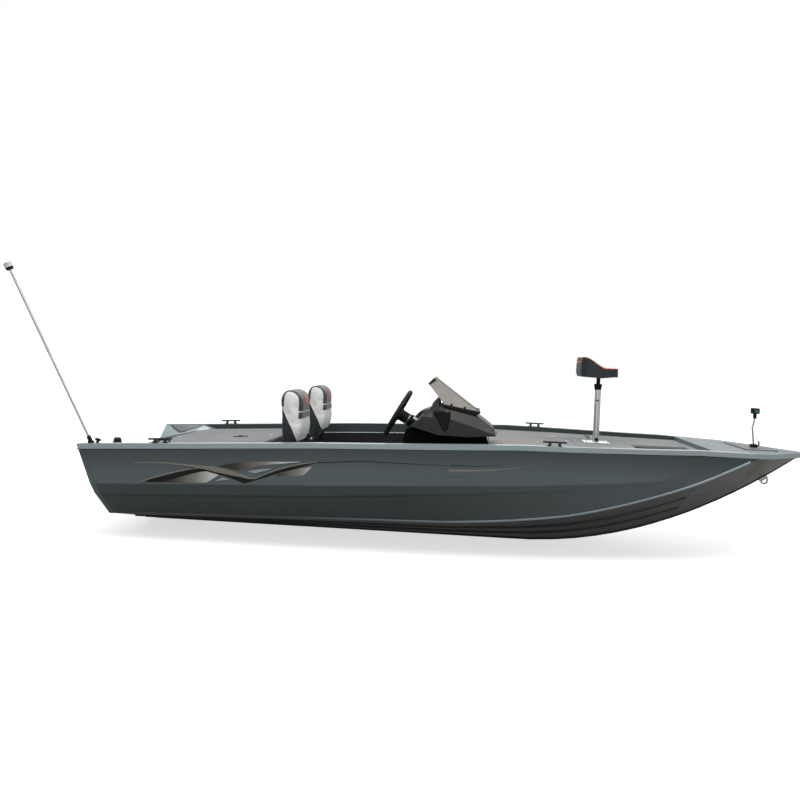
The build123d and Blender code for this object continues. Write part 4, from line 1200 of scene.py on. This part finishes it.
class BOAT_OT_console(bpy.types.Operator):
    """Console with pocket, gauges, switches, key, screws and its tinted windshield"""
    bl_idname = "boat.console"
    bl_label = "Console"

    def execute(self, context):
        body = softened("console_body", "console_plastic", 0.009, 4, 18, 24)
        # The pocket's floor and walls in black plastic, darker than the body: painted shade in the recess.
        paint(body, "black_plastic", lambda middle, normal: -0.232 < middle.x < -0.112
              and -0.879 < middle.y < -0.85 and middle.z < 0.78)
        softened("console_base", "deep_plastic", 0.01)
        softened("console_trim", "black_plastic", 0.002)
        screen = softened("windshield", "windshield", 0.001)
        # The front sheet and edges get the dark pane: painted shade.
        paint(screen, "smoked_pane", lambda middle, normal: abs(normal.y) < 0.7)
        self.make_windshield_parts()
        self.make_gauges()
        self.make_switches()
        return {"FINISHED"}

    def make_windshield_parts(self):
        """Painted shade on the upper corners, where the pane looks darker through two layers, and the dome
        screws through the wings' feet.
        """
        # Painted shade: a dark film on the corners, standing in for the look through two layers of pane.
        corner = raised([(-290, 1112), (-266, 1108), (-222, 1140), (-222, 1175), (-290, 1175)])
        film("windshield", plate(corner, -0.9, -0.25, upright=True), 0.001, "windshield_corner_shade", "dark_trim",
             "black_plastic")
        for side, way, name in ((-960, 1, "starboard"), (-200, -1, "port")):
            driven(f"windshield_screws_{name}", "windshield", 0.0075,
                   [spot(-113, side, 990), spot(-26, side, 975)], "black_plastic",
                   [(0, way, 0)] * 2)

    def make_gauges(self):
        """Two large dials and a small one on the hood."""
        for name, y, radius in (("left", -430, 0.031), ("right", -570, 0.031), ("middle", -500, 0.021)):
            bezel = disc((0, 0, 0.003), radius, 0.012, sides=48)
            inset(bezel, on_top, radius * 0.12)
            inset(bezel, lambda middle, normal: normal.z > 0.9 and middle.xy.length < 0.001, 0.0008, -0.004)
            bezel.data.materials.append(material("black_metal"))
            paint(bezel, "gauge_face", lambda middle, normal: normal.z > 0.9 and middle.xy.length < 0.001)
            ticks = repeated(self.make_tick(radius), [Matrix.Rotation(math.radians(turn), 4, "Z")
                                                      for turn in range(-40, 221, 26)])
            needle = box_piece((-radius * 0.1, -0.0009, 0.0055), (radius * 0.66, 0.0009, 0.0066))
            needle.data.transform(Matrix.Rotation(math.radians(150), 4, "Z"))
            round_edges(needle, 0.0003, 1)
            needle.data.materials.append(material("mark"))
            gauge = joined([bezel, ticks, needle])
            start = spot(-224, y, 992) - DASH_WAY * 0.2
            gauge.data.transform(landing("console_body", start, DASH_WAY))
            smooth(gauge)
            dress(gauge, f"gauge_{name}", "hull", None)

    def make_tick(self, radius):
        tick = box_piece((radius * 0.66, -0.0005, 0.0045), (radius * 0.8, 0.0005, 0.0058))
        round_edges(tick, 0.0002, 1)
        tick.data.materials.append(material("clear_lens"))
        return tick

    def make_switches(self):
        """A row of rocker switches and the key beside the wheel."""
        rocker = box_piece((-0.013, -0.008, -0.001), (0.013, 0.008, 0.005))
        choose(rocker, on_top)
        bpy.ops.mesh.bevel(offset=0.002, segments=2)
        bpy.ops.object.mode_set(mode="OBJECT")
        for vertex in rocker.data.vertices:
            vertex.co.z += vertex.co.x * 0.14 if vertex.co.z > 0.002 else 0
        rim = box_piece((-0.016, -0.011, -0.001), (0.016, 0.011, 0.002))
        round_edges(rim, 0.001, 2)
        rocker = joined([rim, rocker])
        smooth(rocker)
        places = [landing("console_body", spot(-333, y, 878) - DASH_WAY * 0.2, DASH_WAY)
                  for y in (-705, -732, -759, -786, -813)]
        dress(repeated(rocker, places), "rocker_switches", "hull", "black_plastic")
        key = disc((0, 0, 0.004), 0.011, 0.01)
        inset(key, on_top, 0.003, -0.002)
        bow = box_piece((-0.009, -0.0012, 0.006), (0.009, 0.0012, 0.03))
        round_edges(bow, 0.0011, 2)
        key = joined([key, bow])
        key.data.transform(landing("console_body", spot(-333, -845, 878) - DASH_WAY * 0.2, DASH_WAY))
        smooth(key)
        dress(key, "ignition_key", "hull", "steel")


class BOAT_OT_wheel(bpy.types.Operator):
    """Steering wheel with bright spokes and a hub cap, and its column with a ribbed boot"""
    bl_idname = "boat.wheel"
    bl_label = "Wheel"

    def execute(self, context):
        wheel = softened("steering_wheel", "grip", 0.002)
        paint(wheel, "aluminium", lambda middle, normal: self.is_spoke(middle))
        softened("steering_column", "black_plastic", 0.004)
        cap = disc((0, 0, 0), 0.036, 0.012, sides=48)
        inset(cap, on_top, 0.008, 0.003)
        round_edges(cap, 0.0015, 3)
        cap.data.transform(Matrix.Translation(WHEEL_CENTER - WHEEL_FORWARD * 0.004) @ turned(-WHEEL_FORWARD))
        smooth(cap)
        dress(cap, "wheel_hub_cap", "steering_wheel", "black_plastic")
        dress(ring(WHEEL_CENTER - WHEEL_FORWARD * 0.003, WHEEL_FORWARD, 0.038, 0.0022), "wheel_hub_ring",
              "steering_wheel", "steel")
        self.make_wraps()
        start = WHEEL_CENTER + WHEEL_FORWARD * 0.0263
        dress(ring(start + WHEEL_FORWARD * 0.057, WHEEL_FORWARD, 0.0395, 0.0035), "column_ring", "hull",
              "steel")
        ribs = [ring(start + WHEEL_FORWARD * (0.06 + step * 0.012), WHEEL_FORWARD,
                     0.04 + step * 0.0024, 0.004) for step in range(1, 5)]
        dress(joined(ribs), "column_boot_ribs", "hull", "black_plastic")
        return {"FINISHED"}

    def is_spoke(self, middle):
        away = middle - WHEEL_CENTER
        away -= WHEEL_FORWARD * away.dot(WHEEL_FORWARD)
        return 0.05 < away.length < 0.138

    def make_wraps(self):
        """Sewn rings where the rim's grip sections meet."""
        wraps = []
        side = Vector((0, 1, 0))
        up = WHEEL_FORWARD.cross(side)
        for turn in (20, 70, 110, 160, 195, 225, 315, 345):
            angle = math.radians(turn)
            out = side * math.cos(angle) + up * math.sin(angle)
            along = side * -math.sin(angle) + up * math.cos(angle)
            wraps.append(ring(WHEEL_CENTER + out * 0.1635, along, 0.0166, 0.0009))
        dress(joined(wraps), "wheel_grip_seams", "steering_wheel", "black_metal")


# Seats

def stuffed(piece, voxel, cap, shrink=0.004):
    """Swells a closed mesh into padded upholstery by a short cloth simulation."""
    add_modifier(piece, "REMESH", mode="VOXEL", voxel_size=voxel)
    grown(piece, -shrink)
    before = [vertex.co.copy() for vertex in piece.data.vertices]
    cloth = piece.modifiers.new("cloth", "CLOTH")
    cloth.settings.use_pressure = True
    cloth.settings.uniform_pressure_force = 4
    cloth.settings.effector_weights.gravity = 0
    for number in range(1, 21):
        bpy.context.scene.frame_set(number)
    pick(piece)
    bpy.ops.object.modifier_apply(modifier=cloth.name)
    bpy.context.scene.frame_set(1)
    for vertex, start in zip(piece.data.vertices, before):
        moved = vertex.co - start
        if moved.length > cap:
            vertex.co = start + moved * (cap / moved.length)
    add_modifier(piece, "SMOOTH", factor=0.5, iterations=40)
    return piece


def sewn(piece, points, side_start, way, radius=0.0022):
    """A seam bead that lies on a padded piece along a line seen from one side."""
    starts = [Vector((point.x, side_start, point.z)) for point in closer([spot(x, 0, z) for x, z in points])]
    return bead(traced(piece, starts, way), radius)


class BOAT_OT_cockpit_seats(bpy.types.Operator):
    """Padded cockpit seat backs and cushions with their bands, seams and hinge screws"""
    bl_idname = "boat.cockpit_seats"
    bl_label = "Cockpit seats"

    hinge = (-1195, 607)
    seat_y = 556
    shell_gap = 1.5
    shell_line = [(-80, 354), (-46, 298), (10, 205), (43, 149), (60, 110), (69, 76), (200, 0)]
    band_outline = [(-64, 300), (-66, 350), (-64, 388), (-50, 416), (-30, 432), (-5, 438), (27, 434),
                    (57, 422), (84, 400), (99, 368), (104, 333), (104, 275), (69, 278), (69, 333),
                    (64, 360), (53, 380), (38, 392), (22, 399), (-3, 403), (-17, 399), (-26, 388),
                    (-32, 370), (-32, 300)]
    tab_outline = [(72, 227), (110, 232), (110, 268), (72, 268)]
    patch_outline = [(60, 318), (120, 318), (120, 383), (60, 383)]

    def execute(self, context):
        crown = context.scene.boat_seat.crown
        self.make_backs(crown)
        self.make_cushions(crown)
        softened("seat_hinge_brackets", "black_metal", 0.0015)
        self.make_screws()
        return {"FINISHED"}

    def hinged(self, points):
        """An upright outline from points measured from the hinge."""
        return raised([(self.hinge[0] + x, self.hinge[1] + z) for x, z in points])

    def cutter(self, points, half=260):
        low, high = (-self.seat_y - half) * MM, (-self.seat_y + half) * MM
        return plate(self.hinged(points), low, high, upright=True)

    def make_backs(self, crown):
        """One stuffed back cut into pad, shell and trims, copied to the other seat."""
        whole = joined([cad_copy("seat_back_pad_starboard"), cad_copy("seat_back_shell_starboard")])
        whole = stuffed(whole, 0.0065, crown, 0.0005)
        smooth(whole, 60)
        edge = [(x + self.shell_gap, z + self.shell_gap) for x, z in self.shell_line]
        fore = self.cutter(edge + [(300, 0), (300, 600), (-80, 600)])
        aft = self.cutter(self.shell_line + [(200, -60), (-200, -60), (-200, 354)])
        pad = combine(twin_of(whole), fore)
        shell = combine(twin_of(whole), aft)
        band = combine(grown(twin_of(whole), 0.002), self.cutter(self.band_outline))
        patch = combine(grown(twin_of(whole), 0.0035), self.cutter(self.patch_outline, 42))
        tab = combine(grown(twin_of(whole), 0.0025), self.cutter(self.tab_outline))
        line = [(-1240, 1000), (-1240, 905), (-1152, 756), (-1123, 690)]
        seams = joined([sewn(whole, line, -1.0, (0, 1, 0)), sewn(whole, line, -0.2, (0, -1, 0))])
        shift = Matrix.Translation((0, 2 * self.seat_y * MM, 0))
        for piece, label, finish, slot, stood in (
                (pad, "pad", "white_vinyl", "vinyl", "seat_back_pad"),
                (shell, "shell", "dark_vinyl", "charcoal_plastic", "seat_back_shell"),
                (band, "band", "band_vinyl", "vinyl", None), (patch, "patch", "piping", "vinyl", None),
                (tab, "tab", "band_vinyl", "vinyl", None), (seams, "seams", "white_vinyl", "vinyl", None)):
            other = twin_of(piece)
            other.data.transform(shift)
            for one, side in ((piece, "starboard"), (other, "port")):
                smooth(one, 40)
                replaced = (f"{stood}_{side}",) if stood else ()
                dress(one, f"seat_back_{label}_{side}_sewn", f"seat_back_{side}", finish, replaced)
        bpy.data.objects.remove(whole)

    def make_cushions(self, crown):
        """Stuffed cushions with dark bolsters and a piped seam beside each."""
        cushions = stuffed(cad_copy("seat_cushions"), 0.008, crown)
        smooth(cushions, 60)
        pipes = []
        for side in (-1, 1):
            for edge in (-1, 1):
                y = (side * self.seat_y + edge * 140) * MM
                with editing(cushions):
                    bpy.ops.mesh.bisect(plane_co=(0, y, 0), plane_no=(0, 1, 0))
                starts = [Vector((x * MM, y, 1)) for x in range(-1040, -622, 20)]
                path = traced(cushions, starts, (0, 0, -1))
                pipes.append(bead(path, 0.004))
        dress(cushions, "seat_cushions_sewn", "hull", "white_vinyl", ("seat_cushions",))
        paint(cushions, "dark_vinyl", lambda middle, normal: abs(abs(middle.y) - self.seat_y * MM) > 0.14)
        dress(joined(pipes), "cushion_piping", "hull", "white_vinyl")

    def make_screws(self):
        """A bright bolt at every hinge."""
        x, z = self.hinge
        ends = [(side * self.seat_y, edge) for side in (-1, 1) for edge in (-1, 1)]
        driven("hinge_screws", "seat_hinge_brackets", 0.011,
               [spot(x, middle + edge * 300, z) for middle, edge in ends],
               ways=[(0, -edge, 0) for middle, edge in ends])


class BOAT_OT_bow_seat(bpy.types.Operator):
    """The bow seat's stuffed saddle with piping, its shell, swivel and post"""
    bl_idname = "boat.bow_seat"
    bl_label = "Bow seat"

    center_x = 948.5

    def execute(self, context):
        softened("bow_seat_base", "dark_vinyl", 0.006)
        saddle = stuffed(cad_copy("bow_seat_cushion"), 0.005, 0.006, 0.002)
        for vertex in saddle.data.vertices:
            across = (vertex.co.x - (self.center_x - 12) * MM) / 0.014
            vertex.co.z -= 0.005 * math.exp(-across * across) if vertex.co.z > 0.95 else 0
        smooth(saddle, 60)
        dress(saddle, "bow_seat_saddle_sewn", "bow_seat", "white_vinyl", ("bow_seat_cushion",))
        self.make_piping()
        softened("bow_seat_swivel", "black_plastic", 0.001)
        softened("pedestal_plate", "aluminium", 0.002)
        softened("pedestal_post", "tube_metal", 0.001)
        self.make_post_parts()
        return {"FINISHED"}

    def make_piping(self):
        """Orange piping round the rim of the shell."""
        low_x, high_x, half, corner = self.center_x - 149, self.center_x + 118, 190, 64
        starts = []
        for x, y, turn in ((high_x - corner, half - corner, 0), (low_x + corner, half - corner, 90),
                           (low_x + corner, corner - half, 180), (high_x - corner, corner - half, 270)):
            for step in range(7):
                angle = math.radians(turn + step * 15)
                starts.append((Vector((x, y, 2 / MM)) + around(angle, corner)) * MM)
        ends = starts[1:] + starts[:1]
        full = [start.lerp(end, share) for start, end in zip(starts, ends)
                for share in ((0, 0.25, 0.5, 0.75) if (end - start).length > 0.05 else (0,))]
        path = traced(frame["nodes"]["bow_seat_base"], full, (0, 0, -1))
        dress(bead(path, 0.0048, closed=True), "bow_seat_piping", "bow_seat", "piping")

    def make_post_parts(self):
        """The post's collar, its lock knob, its red mark and the plate's screws."""
        foot = landing("pedestal_plate", (0.905, 0, 3)).to_translation()
        top = Vector((self.center_x, 0, 980)) * MM
        collar = disc(top + Vector((0, 0, 0.006)), 0.0285, 0.024, sides=48)
        hole = disc(top, 0.0157, 0.2, sides=48)
        combine(collar, hole, "DIFFERENCE")
        band = disc(top - Vector((0, 0, 0.012)), 0.0262, 0.026, sides=48)
        hole = disc(top, 0.0238, 0.3, sides=48)
        combine(band, hole, "DIFFERENCE")
        collar = joined([collar, band])
        round_edges(collar, 0.0015, 3)
        smooth(collar)
        dress(collar, "post_collar", "hull", "black_plastic")
        knob = disc((0.954, -0.036, foot.z + 0.018), 0.013, 0.026, axis=(0, -1, 0))
        inset(knob, lambda middle, normal: normal.y < -0.9, 0.004, 0.003)
        round_edges(knob, 0.0012, 2)
        smooth(knob)
        dress(knob, "post_knob", "hull", "black_plastic")
        cutter = box_piece((0.94, -0.05, 0.87), (0.958, 0, 0.882))
        film("pedestal_post", cutter, 0.0008, "post_mark", "red_lens", "black_plastic")
        driven("plate_screws", "pedestal_plate", 0.008,
               [(0.955 + 0.078 * x, 0.078 * y, 3) for x in (-1, 1) for y in (-1, 1)])


# Fittings

class BOAT_OT_fittings(bpy.types.Operator):
    """Cleats, towing eye, motor pad, boot, cap and handle"""
    bl_idname = "boat.fittings"
    bl_label = "Fittings"

    def execute(self, context):
        softened("cleats", "black_metal", 0.004)
        self.make_cleat_feet()
        softened("bow_eye", "pole_metal", 0.002)
        softened("trolling_motor_pad", "black_plastic", 0.001)
        outline = [(1988, 297), (2243, 161), (2243, -161), (1988, -297)]
        film("trolling_motor_pad", plate(flat(outline), 0.5, 0.7), 0.0018, "motor_pad_inlay", "stripe_grey",
             "black_plastic")
        self.make_boot()
        self.make_cap()
        self.make_handle()
        return {"FINISHED"}

    def make_cleat_feet(self):
        """A thin rounded plate with two screws under each cleat."""
        foot = box_piece((-0.052, -0.015, -0.0002), (0.052, 0.015, 0.0022))
        round_edges(foot, 0.001, 2)
        screws = repeated(screw_head(0.005), [Matrix.Translation((side * 0.046, 0, 0.0016))
                                              for side in (-1, 1)])
        foot = joined([foot, screws])
        smooth(foot)
        places = []
        for x in (-1964, 566):
            for side, node in ((1, "gunwale_port"), (-1, "gunwale_starboard")):
                y = side * (rail_at(x)[0] - RAIL_WIDTH / 2)
                places.append(landing(node, (x * MM, y * MM, 3)))
        dress(repeated(foot, places), "cleat_feet", "hull", "black_metal")

    def make_boot(self):
        """The ribbed boot that the motor's cables come up through."""
        place = landing("stern_corner_caps", (-2.33, -0.69, 3)).to_translation()
        deselect()
        bpy.ops.mesh.primitive_cone_add(vertices=40, radius1=0.036, radius2=0.021, depth=0.085,
                                        location=place + Vector((0, 0, 0.03)))
        cone = bpy.context.object
        settle(cone)
        inset(cone, on_top, 0.006, -0.012)
        ribs = [ring(place + Vector((0, 0, 0.012 + step * 0.015)), (0, 0, 1), 0.0315 - step * 0.0027, 0.0045)
                for step in range(4)]
        boot = joined([cone] + ribs)
        smooth(boot, 45)
        dress(boot, "rigging_boot", "hull", "grip")

    def make_cap(self):
        """The flip cap of the stern light's socket."""
        cap = disc((0, 0, 0.005), 0.017, 0.012, sides=40)
        inset(cap, on_top, 0.004, 0.003)
        hinge = disc((-0.019, 0, 0.005), 0.004, 0.016, axis=(0, 1, 0), sides=16)
        cap = joined([cap, hinge])
        round_edges(cap, 0.001, 3)
        neck = disc((0, 0, -0.007), 0.009, 0.018, sides=24)
        cap = joined([cap, neck])
        lift = Matrix.Translation((0, 0, 0.014)) @ Matrix.Rotation(0.3, 4, "Y")
        cap.data.transform(landing("gunwale_starboard", (-2.38, -0.905, 3)) @ lift)
        smooth(cap)
        dress(cap, "flip_cap", "hull", "black_plastic")

    def make_handle(self):
        """A grab handle on the rear deck."""
        start = landing("rear_deck", (-2.085, -0.62, 3)).to_translation()
        end = landing("rear_deck", (-2.0, -0.62, 3)).to_translation()
        up = Vector((0, 0, 0.034))
        bend = Vector((0.014, 0, 0))
        grip = bead([start, start + up * 0.6, start + up + bend, end + up - bend, end + up * 0.6, end], 0.006)
        feet = [disc(place + Vector((0, 0, 0.001)), 0.013, 0.005) for place in (start, end)]
        for foot in feet:
            round_edges(foot, 0.0015, 2)
        dress(joined([grip] + feet), "grab_handle", "hull", "black_metal")


class BOAT_OT_lights(bpy.types.Operator):
    """The stern light on its pole and the two-colour bow light"""
    bl_idname = "boat.lights"
    bl_label = "Lights"

    def execute(self, context):
        softened("stern_light_base", "black_plastic", 0.002)
        softened("stern_light_pole", "pole_metal", 0.0008)
        head = softened("stern_light_head", "clear_lens", 0.002)
        tilt = math.radians(28.5)
        lean = Vector((-math.sin(tilt), 0, math.cos(tilt)))
        low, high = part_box("stern_light_head")
        middle_point = (Vector(low) + Vector(high)) / 2
        paint(head, "black_plastic", lambda middle, normal: abs(normal.dot(lean)) > 0.5
              or (middle - middle_point).dot(lean) < -0.008)
        self.make_joint(lean)
        softened("bow_light_base", "black_plastic", 0.003)
        softened("bow_light_tube", "pole_metal", 0.001)
        softened("bow_light_head", "black_plastic", 0.003)
        low, high = (Vector(corner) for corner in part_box("bow_light_head"))
        for side, finish, near, far in (("starboard", "green_lens", -0.05, -0.001),
                                        ("port", "red_lens", 0.001, 0.05)):
            cutter = box_piece((low.x + 0.02, near, high.z - 0.034), (high.x + 0.01, far, high.z - 0.008))
            film("bow_light_head", cutter, 0.0012, f"bow_lens_{side}", finish, "lamp_lens")
        foot = Vector(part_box("bow_light_base")[0])
        lever = bead([foot + Vector(step) for step in ((0.044, 0.022, 0.012), (0.062, 0.022, 0.014),
                                                       (0.066, 0.022, 0.034), (0.06, 0.022, 0.052))], 0.0055)
        dress(lever, "bow_light_lever", "hull", "black_plastic")
        return {"FINISHED"}

    def make_joint(self, lean):
        """The collar where the pole's two tubes meet."""
        start = spot(-2425, -905, 617)
        dress(ring(start + lean * 0.62, lean, 0.0085, 0.0018), "pole_joint", "hull", "steel")


OPERATORS = (BOAT_OT_stage, BOAT_OT_hull, BOAT_OT_stripes, BOAT_OT_decks, BOAT_OT_console, BOAT_OT_wheel,
             BOAT_OT_cockpit_seats, BOAT_OT_bow_seat, BOAT_OT_fittings, BOAT_OT_lights)


class BOAT_PT_panel(bpy.types.Panel):
    """Lists the boat's builders"""
    bl_idname = "BOAT_PT_panel"
    bl_label = "Boat"
    bl_space_type = "VIEW_3D"
    bl_region_type = "UI"
    bl_category = "Boat"

    def draw(self, context):
        for group in GROUPS:
            box = self.layout.box()
            for field in GROUPS[group].__annotations__:
                box.prop(getattr(context.scene, group), field)
        for operator in OPERATORS:
            self.layout.operator(operator.bl_idname)


def register():
    for name, group in GROUPS.items():
        bpy.utils.register_class(group)
        setattr(bpy.types.Scene, name, PointerProperty(type=group))
    for operator in OPERATORS:
        bpy.utils.register_class(operator)
    bpy.utils.register_class(BOAT_PT_panel)


def unregister():
    bpy.utils.unregister_class(BOAT_PT_panel)
    for operator in reversed(OPERATORS):
        bpy.utils.unregister_class(operator)
    for name, group in GROUPS.items():
        delattr(bpy.types.Scene, name)
        bpy.utils.unregister_class(group)


def main():
    register()
    bpy.ops.boat.stage()
    bpy.ops.boat.hull()
    bpy.ops.boat.stripes()
    bpy.ops.boat.decks()
    bpy.ops.boat.console()
    bpy.ops.boat.wheel()
    bpy.ops.boat.cockpit_seats()
    bpy.ops.boat.bow_seat()
    bpy.ops.boat.fittings()
    bpy.ops.boat.lights()


if __name__ == "__main__":
    main()
